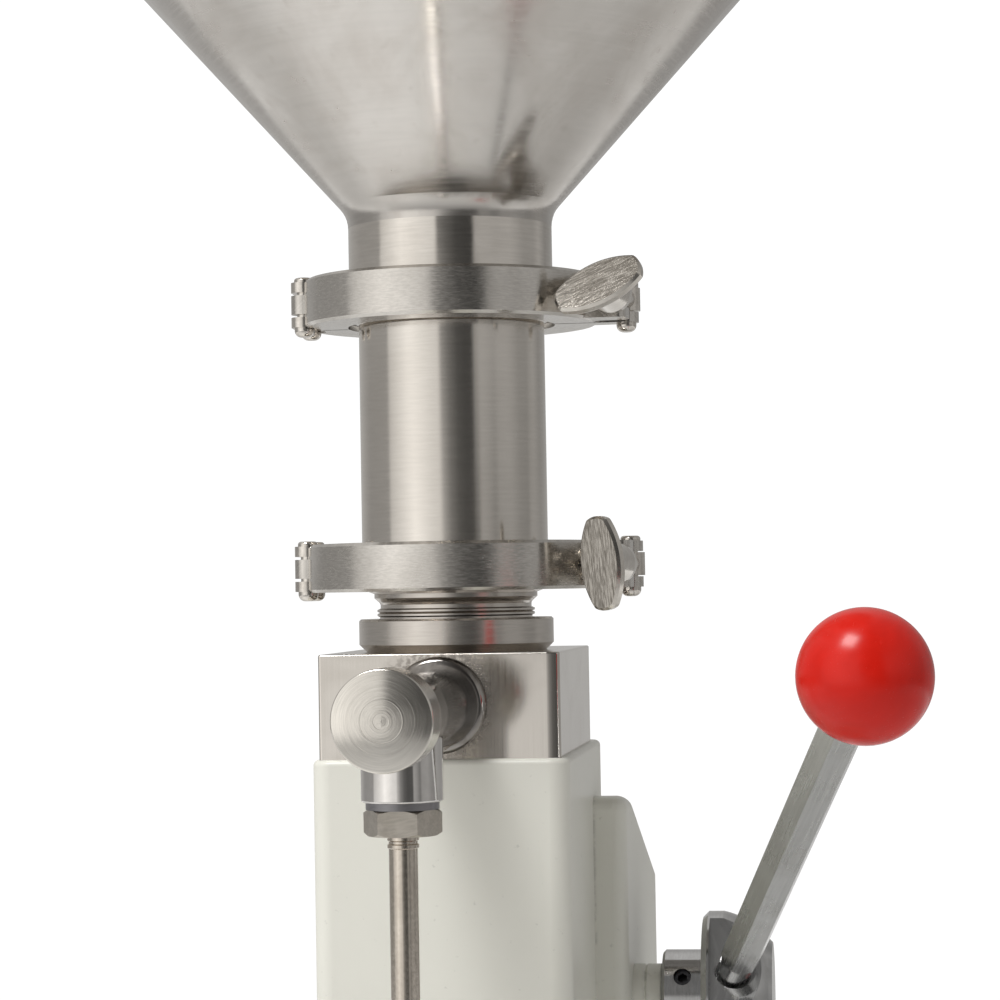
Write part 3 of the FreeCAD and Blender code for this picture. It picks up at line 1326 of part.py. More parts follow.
def all_nodes():
    """Every piece by its name."""
    nodes = {
        "base_casting": base_casting(),
        "column_bolts": column_bolts(),
        "body_casting": body_casting(),
        "rear_cover": rear_cover(),
        "rear_cover_screws": rear_cover_screws(),
        "valve_block": valve_block(),
        "block_screws": block_screws(),
        "lock_ring": lock_ring(),
        "lower_ferrule": lower_ferrule(),
        "clamp_gaskets": clamp_gaskets(),
        "cylinder_tube": cylinder_tube(),
        "hopper_ferrule": hopper_ferrule(),
        "hopper_shell": hopper_shell(),
        "clamp_links": clamp_links(),
        "clamp_rivets": clamp_rivets(),
        "rod_gland": rod_gland(),
        "rod_seal": rod_seal(),
        "small_screws": small_screws(),
        "piston_rod": piston_rod(),
        "piston_head": piston_head(),
        "piston_seals": piston_seals(),
        "piston_valve_disc": valve_disc(),
        "valve_stop_washer": valve_stop_washer(),
        "piston_nut": piston_nut(),
        "rack": rack(),
        "rack_pin": rack_pin(),
        "rack_guide": rack_guide(),
        "drive_gear": drive_gear(),
        "gear_pin": gear_pin(),
        "drive_shaft": drive_shaft(),
        "right_bushing": right_bushing(),
        "left_bushing": left_bushing(),
        "shaft_spacer": shaft_spacer(),
        "lever_hub": lever_hub(),
        "hub_set_screw": hub_set_screw(),
        "lever_rod": lever_rod(),
        "ball_knob": ball_knob(),
        "outlet_body": outlet_body(),
        "outlet_seat": outlet_seat(),
        "outlet_ball": outlet_ball(),
        "outlet_spring": outlet_spring(),
        "outlet_cap": outlet_cap(),
        "cap_seal": cap_seal(),
        "nozzle_washer": nozzle_washer(),
        "nozzle_nut": nozzle_nut(),
        "nozzle_tube": nozzle_tube(),
        "stop_rod": stop_rod(),
        "stop_block": stop_block(),
        "stop_knob": stop_knob(),
        "scale_plate": scale_plate(),
        "scale_screws": scale_screws(),
    }
    clamps = (("lower", LOWER_CLAMP_Z, LOWER_WING_ROLL), ("upper", UPPER_CLAMP_Z, UPPER_WING_ROLL))
    for name, clamp_z, roll in clamps:
        nodes[name + "_clamp_front"] = clamp_front(clamp_z)
        nodes[name + "_clamp_rear"] = clamp_rear(clamp_z)
        nodes[name + "_swing_bolt"] = swing_bolt(clamp_z)
        nodes[name + "_wing_nut"] = wing_nut(clamp_z, roll)
    return nodes


os.makedirs("parts", exist_ok=True)
for node_name, solid in all_nodes().items():
    solid.exportStep("parts/" + node_name + ".step")
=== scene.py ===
"""The looks of a hand-lever piston filler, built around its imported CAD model."""

import math

import bmesh
import bpy
from mathutils import Matrix, Vector


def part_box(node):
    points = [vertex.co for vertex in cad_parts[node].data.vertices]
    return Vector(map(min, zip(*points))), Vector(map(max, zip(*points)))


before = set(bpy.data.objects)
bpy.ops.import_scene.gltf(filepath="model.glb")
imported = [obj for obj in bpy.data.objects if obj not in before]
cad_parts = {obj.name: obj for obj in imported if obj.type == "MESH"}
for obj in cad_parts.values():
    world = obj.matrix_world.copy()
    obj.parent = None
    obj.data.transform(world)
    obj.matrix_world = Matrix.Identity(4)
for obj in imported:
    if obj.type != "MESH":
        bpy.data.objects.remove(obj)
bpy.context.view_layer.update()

MM = 0.001
AXES = {"X": Vector((1, 0, 0)), "Y": Vector((0, 1, 0)), "Z": Vector((0, 0, 1))}
PUMP_AXIS = Vector((0, 0, 0))
WARM_STEEL = (0.66, 0.625, 0.58)
COOL_STEEL = (0.60, 0.60, 0.60)


def middle(node):
    """The centre of a CAD node's box."""
    low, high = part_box(node)
    return (low + high) / 2


def plate_axes(node, depth):
    """(long way, face normal) of the flat plate that fills a node's front, depth deep."""
    points = [vertex.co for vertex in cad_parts[node].data.vertices]
    front = min(point.y for point in points)
    points = [point for point in points if point.y < front + depth]
    centre = sum(points, Vector()) / len(points)
    spread = Matrix(((0, 0, 0),) * 3)
    for point in points:
        away = point - centre
        spread += Matrix([[a * b for b in away] for a in away])
    inverse = spread.inverted()
    long_way, normal = Vector((1, 1, 1)), Vector((0.3, -1, 0.2))
    for _ in range(40):
        long_way = (spread @ long_way).normalized()
        normal = (inverse @ normal).normalized()
    return long_way, normal


# ---------------------------------------------------------------- materials

class Finish:
    """One procedural material in the making: a principled shader and the patterns that feed it."""

    def __init__(self, name, colour, metallic=0.0, roughness=0.5, **fixed):
        self.material = bpy.data.materials.new(name)
        self.material.use_nodes = True
        self.tree = self.material.node_tree
        self.shader = self.tree.nodes["Principled BSDF"]
        self.set("Base Color", (*colour, 1.0))
        self.set("Metallic", metallic)
        self.set("Roughness", roughness)
        for socket, value in fixed.items():
            self.set(socket.replace("_", " "), value)
        self.place = self.node("ShaderNodeTexCoord").outputs["Object"]
        self.normal = None

    def node(self, kind, *inputs, **settings):
        """Adds a node; inputs are given in socket order, as numbers, tuples or other sockets."""
        made = self.tree.nodes.new(kind)
        for key, value in settings.items():
            setattr(made, key, value)
        for socket, value in zip(made.inputs, inputs):
            self.plug(socket, value)
        return made

    def plug(self, socket, value):
        if isinstance(value, bpy.types.NodeSocket):
            self.tree.links.new(value, socket)
        elif value is not None:
            socket.default_value = value

    def set(self, socket, value):
        self.plug(self.shader.inputs[socket], value)

    def maths(self, operation, a, b=None, c=None):
        return self.node("ShaderNodeMath", a, b, c, operation=operation).outputs[0]

    def vector(self, operation, a, b=None):
        made = self.node("ShaderNodeVectorMath", a, b, operation=operation)
        return made.outputs["Value" if operation in ("LENGTH", "DOT_PRODUCT") else "Vector"]

    def scaled(self, a, factor):
        made = self.node("ShaderNodeVectorMath", a, operation="SCALE")
        self.plug(made.inputs["Scale"], factor)
        return made.outputs["Vector"]

    def remap(self, value, low, high, out_low, out_high, smooth=True):
        """Value, from low to high, brought to out_low to out_high and held at both ends."""
        made = self.node("ShaderNodeMapRange", value, low, high, out_low, out_high)
        made.interpolation_type = "SMOOTHSTEP" if smooth else "LINEAR"
        return made.outputs["Result"]

    def noise(self, vector, scale=1.0, detail=3.0, rough=0.55, twist=0.0):
        made = self.node("ShaderNodeTexNoise")
        for socket, value in (("Vector", vector), ("Scale", scale), ("Detail", detail),
                              ("Roughness", rough), ("Distortion", twist)):
            self.plug(made.inputs[socket], value)
        return made.outputs["Fac"]

    def mixed(self, share, first, second):
        """A colour between two colours."""
        made = self.tree.nodes.new("ShaderNodeMix")
        made.data_type = "RGBA"
        for socket, value in ((made.inputs[0], share), (made.inputs[6], first),
                              (made.inputs[7], second)):
            self.plug(socket, (*value, 1.0) if isinstance(value, tuple) else value)
        return made.outputs[2]

    def multiplied(self, first, second):
        """The product of two colours."""
        made = self.tree.nodes.new("ShaderNodeMix")
        made.data_type = "RGBA"
        made.blend_type = "MULTIPLY"
        made.inputs[0].default_value = 1.0
        self.plug(made.inputs[6], first)
        self.plug(made.inputs[7], second)
        return made.outputs[2]

    def part_of_place(self, axis):
        """The position along one axis."""
        parts = self.node("ShaderNodeSeparateXYZ", self.place)
        return parts.outputs[axis]

    def cylindrical(self, axis, centre):
        """(unit vector out from the axis, distance from it, distance along it)."""
        along = AXES[axis]
        flat = tuple(1.0 - abs(v) for v in along)
        moved = self.vector("SUBTRACT", self.place, tuple(centre))
        out = self.vector("MULTIPLY", moved, flat)
        return (self.vector("NORMALIZE", out), self.vector("LENGTH", out),
                self.vector("DOT_PRODUCT", moved, tuple(along)))

    def grain_around(self, axis, centre, across, turns=3.0):
        """A pattern place whose lines run round an axis, as a lathe or a belt leaves them."""
        unit, radius, height = self.cylindrical(axis, centre)
        lines = self.maths("MULTIPLY", self.maths("ADD", radius, height), across)
        rise = self.scaled(tuple(AXES[axis]), lines)
        return self.vector("ADD", self.scaled(unit, turns), rise)

    def grain_along(self, direction, across, along):
        """A pattern place whose lines run straight along a direction."""
        way = tuple(Vector(direction).normalized())
        run = self.vector("DOT_PRODUCT", self.place, way)
        lengthwise = self.scaled(way, run)
        sideways = self.scaled(self.vector("SUBTRACT", self.place, lengthwise), across)
        return self.vector("ADD", sideways, self.scaled(lengthwise, along))

    def bump(self, height, distance):
        """Raises the surface by distance (metres) where height is 1, on top of earlier bumps."""
        made = self.node("ShaderNodeBump")
        made.inputs["Strength"].default_value = 1.0
        self.plug(made.inputs["Distance"], distance)
        self.plug(made.inputs["Height"], height)
        if self.normal:
            self.plug(made.inputs["Normal"], self.normal)
        self.normal = made.outputs["Normal"]

    def round_tangent(self, axis, centre):
        """Tells the shader that the polishing lines run round an axis."""
        unit, _, _ = self.cylindrical(axis, centre)
        along = self.vector("CROSS_PRODUCT", tuple(AXES[axis]), unit)
        turned = self.node("ShaderNodeVectorTransform", along, vector_type="VECTOR",
                           convert_from="OBJECT", convert_to="WORLD")
        self.set("Tangent", turned.outputs[0])

    def facing(self, direction):
        """1 where the surface faces along a direction, either way, and 0 where it's edge on."""
        normal = self.node("ShaderNodeNewGeometry").outputs["Normal"]
        own = self.node("ShaderNodeVectorTransform", normal, vector_type="NORMAL",
                        convert_from="WORLD", convert_to="OBJECT").outputs[0]
        return self.maths("ABSOLUTE", self.vector("DOT_PRODUCT", own, tuple(direction)))

    def done(self):
        if self.normal:
            self.set("Normal", self.normal)
        return self.material


def shade(colour, factor):
    return tuple(c * factor for c in colour)


def metal(name, colour, roughness, grain, depth=2e-6, contrast=0.06, blotch=0.08,
          blotch_size=0.018, spread=0.05, anisotropy=0.0, tangent=None, waves=0.0,
          wave_size=0.02, extra=None):
    """Worked metal: fine lines, cloudy wear, and roughness that follows both.

    grain makes the place of the lines; waves is the height of slow unevenness; extra adds a
    finish of its own, from the colour so far, before the lines are pressed in."""
    f = Finish(name, colour, metallic=1.0, roughness=roughness)
    lines = f.noise(grain(f), detail=4.0, rough=0.6)
    clouds = f.noise(f.place, scale=1 / blotch_size, detail=4.0, twist=0.6)
    tone = f.mixed(f.remap(lines, 0.3, 0.7, 0.0, 1.0), shade(colour, 1 - contrast),
                   shade(colour, 1 + contrast * 0.7))
    tint = f.mixed(f.remap(clouds, 0.35, 0.7, 0.0, 1.0), (1.0, 1.0, 1.0),
                   (1 - blotch, 1 - blotch * 1.06, 1 - blotch * 1.15))
    surface = f.multiplied(tone, tint)
    from_lines = f.remap(lines, 0.25, 0.75, -spread * 0.5, spread * 0.5)
    from_clouds = f.remap(clouds, 0.3, 0.75, -spread * 0.4, spread * 0.7)
    rough = f.maths("ADD", f.maths("ADD", from_lines, from_clouds), roughness)
    if waves:
        f.bump(f.noise(f.place, scale=1 / wave_size, detail=1.5), waves)
    if extra:
        surface, rough = extra(f, surface, rough)
    f.set("Base Color", surface)
    f.set("Roughness", rough)
    f.bump(lines, depth)
    if anisotropy:
        f.set("Anisotropic", anisotropy)
        f.set("Anisotropic Rotation", 0.25)
        f.round_tangent(*tangent)
    return f.done()


def around(axis, centre, across=2200.0, turns=3.0):
    return lambda f: f.grain_around(axis, centre, across, turns)


def straight(direction, across=2500.0, along=120.0):
    return lambda f: f.grain_along(direction, across, along)


def crossed(scale=600.0):
    """Random fine wear with no direction, as tumbling or hand polishing leaves it."""
    return lambda f: f.scaled(f.place, scale)


def paint(name, colour):
    """Sprayed enamel on a casting: faint orange peel, slow unevenness, rubbed and greyer edges."""
    f = Finish(name, colour, roughness=0.36, Coat_Weight=0.25, Coat_Roughness=0.22)
    clouds = f.noise(f.place, scale=14.0, detail=4.0, twist=0.4)
    dust = f.noise(f.place, scale=420.0, detail=3.0)
    peel = f.noise(f.place, scale=520.0, detail=1.5)
    slow = f.noise(f.place, scale=45.0, detail=2.0)
    body = f.mixed(f.remap(clouds, 0.3, 0.7, 0.0, 1.0), shade(colour, 0.955), shade(colour, 1.02))
    speckled = f.mixed(f.remap(dust, 0.66, 0.74, 0.0, 0.5), body, shade(colour, 0.72))
    softened = f.node("ShaderNodeBevel", samples=4)
    softened.inputs["Radius"].default_value = 1.6 * MM
    true_normal = f.node("ShaderNodeNewGeometry").outputs["Normal"]
    facing = f.vector("DOT_PRODUCT", softened.outputs[0], true_normal)
    rubbed = f.maths("MULTIPLY", f.remap(facing, 0.90, 0.995, 1.0, 0.0),
                     f.remap(f.noise(f.place, scale=260.0, detail=4.0), 0.42, 0.62, 0.0, 0.55))
    f.set("Base Color", f.mixed(rubbed, speckled, (0.34, 0.34, 0.33)))
    f.set("Roughness", f.remap(clouds, 0.25, 0.75, 0.30, 0.42))
    f.bump(slow, 35e-6)
    f.bump(peel, 9e-6)
    return f.done()


def moulded(name, colour, roughness, gloss=0.0, fleck=0.12, grain_height=4e-6, rubber=False,
            shine=0.5):
    """Moulded plastic or rubber: nearly even colour, faint flow marks and small scuffs."""
    f = Finish(name, colour, roughness=roughness, Coat_Weight=gloss, Coat_Roughness=0.06,
               Specular_IOR_Level=shine)
    flow = f.noise(f.place, scale=70.0, detail=3.0, twist=1.2)
    pores = f.noise(f.place, scale=1400.0 if rubber else 900.0, detail=2.0)
    scuffs = f.noise(f.grain_along((0.4, 0.8, 0.5), 2600.0, 160.0), detail=2.0)
    body = f.mixed(f.remap(flow, 0.3, 0.7, 0.0, 1.0), shade(colour, 1 - fleck),
                   shade(colour, 1.05))
    worn = f.remap(scuffs, 0.66, 0.76, 0.0, 0.35)
    f.set("Base Color", f.mixed(worn, body, shade(colour, 0.8)))
    f.set("Roughness", f.maths("ADD", f.remap(flow, 0.3, 0.7, -0.03, 0.05),
                               f.maths("ADD", roughness, f.maths("MULTIPLY", worn, 0.3))))
    f.bump(flow, 30e-6)
    f.bump(pores, grain_height)
    return f.done()


CAP_CENTRE = middle("outlet_cap")
OUTLET_ROOT = Vector((0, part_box("valve_block")[0].y, CAP_CENTRE.z))
NOZZLE_CENTRE = middle("nozzle_tube")
SHAFT_CENTRE = middle("drive_shaft")
BALL_CENTRE = middle("ball_knob")
LEVER_WAY = (BALL_CENTRE - middle("lever_rod")).normalized()
BLOCK_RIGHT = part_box("valve_block")[1].x
TINT_START = NOZZLE_CENTRE.y + 13 * MM
CAP_R = 16 * MM
CAP_DOME = 0.8 * MM
UPPER_WING = plate_axes("upper_wing_nut", 0.009)
LOWER_WING = plate_axes("lower_wing_nut", 0.009)


def rolled_edge(f, surface, rough):
    """The block's right front edge falls away a little, as hand buffing leaves it."""
    width, drop = 3.6 * MM, 0.75 * MM
    share = f.remap(f.part_of_place("X"), BLOCK_RIGHT - width, BLOCK_RIGHT, 0.0, 1.0, smooth=False)
    f.bump(f.maths("SUBTRACT", 1.0, f.maths("MULTIPLY", share, share)), drop)
    away = f.vector("LENGTH", f.vector("SUBTRACT", f.place, tuple(OUTLET_ROOT)))
    speckle = f.noise(f.place, scale=900.0, detail=3.0)
    near = f.remap(away, 0.0125, 0.019, 1.0, 0.0)
    heat = f.maths("MULTIPLY", near, f.remap(speckle, 0.40, 0.62, 0.15, 0.75))
    return (f.mixed(heat, surface, (0.30, 0.27, 0.24)),
            f.maths("ADD", rough, f.maths("MULTIPLY", heat, 0.25)))


def heat_tint(f, surface, rough):
    """The short tube behind the outlet's boss keeps the brown heat tint of its weld."""
    back = f.remap(f.part_of_place("Y"), TINT_START, TINT_START + 2 * MM, 0.0, 0.85)
    patches = f.noise(f.place, scale=170.0, detail=4.0, twist=0.5)
    share = f.maths("MULTIPLY", back, f.remap(patches, 0.30, 0.60, 1.0, 0.75))
    return (f.mixed(share, surface, (0.10, 0.085, 0.07)),
            f.maths("ADD", rough, f.maths("MULTIPLY", share, 0.12)))


def lathe_rings(f, surface, rough):
    """A faintly domed face with uneven facing cuts, and the centre's small pip."""
    _, radius, _ = f.cylindrical("Y", CAP_CENTRE)
    ring = f.node("ShaderNodeCombineXYZ", radius).outputs[0]
    cuts = f.noise(f.scaled(ring, 1500.0), detail=2.0)
    deep = f.remap(f.noise(f.scaled(ring, 700.0), detail=1.0), 0.56, 0.60, 0.0, 1.0)
    inner = f.remap(radius, 0.004, 0.0085, 1.0, 0.25)
    across = f.maths("DIVIDE", radius, CAP_R)
    f.bump(f.maths("SUBTRACT", 1.0, f.maths("MULTIPLY", across, across)), CAP_DOME)
    f.bump(cuts, 9e-6)
    f.bump(f.maths("MULTIPLY", deep, inner), 22e-6)
    pip = f.remap(radius, 0.0002, 0.0007, 1.0, 0.0)
    f.bump(pip, -4e-6)
    return f.mixed(f.maths("MULTIPLY", deep, 0.12), surface, (0.30, 0.28, 0.25)), rough


def wing_marks_and_painted_dark(axes):
    """Coarse lengthwise belt marks on the flat of a wing nut, over a painted dark reflection that
    darkens the whole flat; its rim stays bright.
    """
    long_way, normal = axes

    def brushed_and_painted_dark(f, surface, rough):
        flat = f.remap(f.facing(normal), 0.975, 0.99, 0.0, 1.0)
        marks = f.noise(f.grain_along(long_way, 2600.0, 260.0), detail=3.0, rough=0.65)
        # Painted dark reflection: the whole flat is mixed at least a third of the way toward dark
        # brown, and how far varies with the belt marks.
        dark = f.maths("MULTIPLY", flat, f.remap(marks, 0.38, 0.66, 0.92, 0.35))
        f.bump(f.maths("MULTIPLY", marks, flat), 34e-6)
        return (f.mixed(dark, surface, (0.16, 0.145, 0.125)),
                f.maths("ADD", rough, f.maths("MULTIPLY", flat, 0.10)))
    return brushed_and_painted_dark


def drawn_marks(f, surface, rough):
    """Faint stains and spots on the hopper's cone and walls."""
    stains = f.noise(f.place, scale=38.0, detail=5.0, rough=0.62, twist=0.8)
    spots = f.noise(f.place, scale=210.0, detail=4.0)
    shadow = f.maths("ADD", f.remap(stains, 0.42, 0.72, 0.0, 0.20),
                     f.remap(spots, 0.58, 0.78, 0.0, 0.16))
    return f.mixed(shadow, surface, (0.34, 0.29, 0.25)), f.maths("ADD", rough,
                                                                f.maths("MULTIPLY", shadow, 0.2))


cream = paint("cream_enamel", (0.78, 0.775, 0.705))
bright_block = metal(
    "polished_block", WARM_STEEL, 0.11, straight((0, 0, 1), 1500.0, 25.0), depth=0.8e-6,
    contrast=0.035, blotch=0.07, blotch_size=0.02, waves=22e-6, wave_size=0.03, extra=rolled_edge)
tube_steel = metal(
    "satin_tube", WARM_STEEL, 0.125, around("Z", PUMP_AXIS, 1500.0), depth=0.5e-6,
    contrast=0.03, blotch=0.05, blotch_size=0.03, anisotropy=0.25, tangent=("Z", PUMP_AXIS))
neck_steel = metal(
    "spun_neck", WARM_STEEL, 0.10, around("Z", PUMP_AXIS, 1300.0), depth=1.2e-6, contrast=0.05,
    blotch=0.08, blotch_size=0.014, waves=60e-6, wave_size=0.012)
hopper_sheet = metal(
    "spun_sheet", (0.60, 0.575, 0.545), 0.19, around("Z", PUMP_AXIS, 700.0, 2.0), depth=1.2e-6,
    contrast=0.03, blotch=0.10, blotch_size=0.035, spread=0.08, waves=90e-6, wave_size=0.05,
    extra=drawn_marks)
clamp_steel = metal(
    "brushed_clamp", (0.60, 0.575, 0.54), 0.19, around("Z", PUMP_AXIS, 2600.0, 22.0),
    depth=6e-6, contrast=0.10, blotch=0.08, blotch_size=0.02, spread=0.10, waves=20e-6,
    wave_size=0.012, anisotropy=0.3, tangent=("Z", PUMP_AXIS))
turned_ring = metal(
    "turned_ring", (0.58, 0.545, 0.505), 0.22, around("Z", PUMP_AXIS, 2600.0), depth=1e-6,
    contrast=0.05, blotch=0.06)
turned_cap = metal(
    "turned_cap", (0.70, 0.67, 0.62), 0.17, around("Y", CAP_CENTRE, 3600.0, 1.5), depth=5e-6,
    contrast=0.10, blotch=0.04, spread=0.06,
    extra=lathe_rings)
mirror_boss = metal(
    "mirror_boss", (0.70, 0.68, 0.66), 0.05, crossed(500.0), depth=0.5e-6, contrast=0.03,
    blotch=0.05, blotch_size=0.01, spread=0.03, waves=10e-6, wave_size=0.006, extra=heat_tint)
nozzle_steel = metal(
    "drawn_nozzle", (0.60, 0.545, 0.48), 0.16, around("Z", NOZZLE_CENTRE, 900.0), depth=1e-6,
    contrast=0.06, blotch=0.14, blotch_size=0.02)
nut_steel = metal(
    "machined_nut", (0.50, 0.465, 0.415), 0.34, straight((1, 0, 0.15), 1600.0, 250.0), depth=4e-6,
    contrast=0.10, blotch=0.14, blotch_size=0.006)
washer_steel = metal(
    "dull_washer", (0.27, 0.265, 0.275), 0.40, around("Z", NOZZLE_CENTRE, 2500.0), depth=2e-6)
upper_wing_steel = metal(
    "cast_upper_wing", (0.66, 0.625, 0.575), 0.15, crossed(900.0), depth=3e-6, blotch=0.08,
    blotch_size=0.006, waves=12e-6, wave_size=0.004, extra=wing_marks_and_painted_dark(UPPER_WING))
lower_wing_steel = metal(
    "cast_lower_wing", (0.66, 0.625, 0.575), 0.15, crossed(900.0), depth=3e-6, blotch=0.08,
    blotch_size=0.006, waves=12e-6, wave_size=0.004, extra=wing_marks_and_painted_dark(LOWER_WING))
link_steel = metal(
    "pressed_link", WARM_STEEL, 0.15, crossed(1100.0), depth=2e-6, contrast=0.08, blotch=0.12,
    blotch_size=0.005, waves=8e-6, wave_size=0.003)
zinc_rod = metal(
    "zinc_rod", (0.70, 0.705, 0.705), 0.24, straight(LEVER_WAY, 1500.0, 40.0), depth=2e-6,
    contrast=0.07, blotch=0.12, blotch_size=0.02, spread=0.10, waves=12e-6, wave_size=0.012)
hub_chrome = metal(
    "chromed_hub", (0.52, 0.52, 0.52), 0.11, around("X", SHAFT_CENTRE, 2600.0), depth=1.2e-6,
    contrast=0.06, blotch=0.10, blotch_size=0.008, waves=10e-6, wave_size=0.01)
dark_screw = metal(
    "blackened_screw", (0.045, 0.045, 0.048), 0.42, crossed(1500.0), depth=5e-6, contrast=0.3)
plain_steel = metal(
    "ground_steel", COOL_STEEL, 0.28, crossed(1300.0), depth=4e-6, contrast=0.12)
cast_iron = metal(
    "cast_gear", (0.30, 0.30, 0.30), 0.45, crossed(700.0), depth=12e-6, contrast=0.2)
bronze = metal(
    "bearing_bronze", (0.60, 0.42, 0.21), 0.30, crossed(1000.0), depth=4e-6, contrast=0.15)
scale_steel = metal(
    "brushed_scale", (0.62, 0.62, 0.61), 0.30, straight((0, 0, 1), 2800.0, 60.0), depth=4e-6,
    contrast=0.12)
rod_chrome = metal(
    "chromed_rod", (0.66, 0.66, 0.66), 0.10, crossed(1500.0), depth=1e-6, contrast=0.04)
white_seal = moulded("white_seal", (0.80, 0.80, 0.77), 0.40)
silicone = moulded("silicone", (0.72, 0.71, 0.68), 0.48, rubber=True)
red_gloss = moulded("red_knob", (0.62, 0.012, 0.005), 0.22, fleck=0.06, grain_height=0.6e-6,
                    shine=0.28)
black_plastic = moulded("black_knob", (0.018, 0.018, 0.02), 0.38, gloss=0.15)

LOOKS = {
    cream: ["body_casting", "base_casting", "rear_cover", "right_bushing"],
    bright_block: ["valve_block"],
    tube_steel: ["cylinder_tube"],
    neck_steel: ["hopper_ferrule"],
    hopper_sheet: ["hopper_shell"],
    clamp_steel: ["upper_clamp_front", "upper_clamp_rear", "lower_clamp_front",
                  "lower_clamp_rear"],
    turned_ring: ["lock_ring", "lower_ferrule"],
    turned_cap: ["outlet_cap"],
    mirror_boss: ["outlet_body"],
    nozzle_steel: ["nozzle_tube"],
    nut_steel: ["nozzle_nut"],
    washer_steel: ["nozzle_washer"],
    upper_wing_steel: ["upper_wing_nut"],
    lower_wing_steel: ["lower_wing_nut"],
    link_steel: ["clamp_links", "clamp_rivets", "upper_swing_bolt", "lower_swing_bolt"],
    zinc_rod: ["lever_rod"],
    hub_chrome: ["lever_hub"],
    dark_screw: ["hub_set_screw", "column_bolts", "block_screws", "small_screws"],
    plain_steel: ["drive_shaft", "gear_pin", "rack", "rack_pin", "shaft_spacer", "stop_rod",
                  "stop_block", "piston_nut", "valve_stop_washer", "rear_cover_screws",
                  "scale_screws", "outlet_spring", "piston_head"],
    cast_iron: ["drive_gear"],
    bronze: ["left_bushing", "rack_guide", "rod_gland"],
    scale_steel: ["scale_plate"],
    rod_chrome: ["piston_rod", "outlet_ball"],
    white_seal: ["outlet_seat", "piston_seals", "piston_valve_disc", "rod_seal"],
    silicone: ["cap_seal", "clamp_gaskets"],
    red_gloss: ["ball_knob"],
    black_plastic: ["stop_knob"],
}

for material, nodes in LOOKS.items():
    for name in nodes:
        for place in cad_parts[name].material_slots:
            place.material = material


# ---------------------------------------------------------------- studio

KEY_PLACE = (-0.51, -0.79, 2.01)
KEY_SIDE = 0.65
KEY_POWER = 24.0
FLOOR_RADIUS = 2.0
LIGHT_POOL = (-0.32, -0.10, 0.0)
# Painted shade on the floor: fully grey in front of the first y, gone behind the second.
PAINTED_FRONT_SHADE = (-1.3, -0.2)
CAMERA_PLACE = (0.1109, -0.7891, 0.4273)
CAMERA_YAW, CAMERA_PITCH, CAMERA_ROLL = (math.radians(a) for a in (7.10, 1.82, -0.97))
LENS = 104.54

# Brightness of the tent by direction: degrees from the front, positive to the right. WALL_LOW is
# below the horizon, WALL_HIGH above it, and each has a dark gap round the camera.
WALL_LOW = [
    (-180, 0.50), (-160, 0.52), (-138, 0.46), (-118, 0.35), (-98, 0.37), (-80, 0.39), (-76, 0.72),
    (-58, 0.99), (-50, 1.14), (-42, 1.36), (-34, 1.26), (-18, 0.98), (-8, 0.93), (-4, 0.60),
    (4, 0.30), (14, 0.15), (24, 0.10), (38, 0.11), (42, 0.42), (50, 0.36), (60, 0.22), (66, 0.36),
    (84, 0.39), (98, 0.31), (112, 0.28), (118, 0.40), (142, 0.34), (168, 0.40), (180, 0.50),
]
WALL_HIGH = [
    (-180, 0.45), (-160, 0.48), (-138, 0.45), (-114, 0.41), (-80, 0.43), (-76, 0.82),
    (-66, 0.99), (-50, 1.31), (-34, 1.14), (-18, 0.98), (-10, 0.90), (-6, 0.24), (2, 0.16),
    (14, 0.08), (32, 0.06), (36, 0.58), (42, 0.54), (78, 0.52), (98, 0.38), (116, 0.38),
    (126, 0.46), (142, 0.30), (172, 0.36), (180, 0.45),
]
CEILING = [
    (-180, 0.70), (-150, 0.75), (-45, 0.88), (-28, 0.60), (-14, 0.20), (36, 0.15), (60, 0.32),
    (140, 0.36), (170, 0.60), (180, 0.70),
]


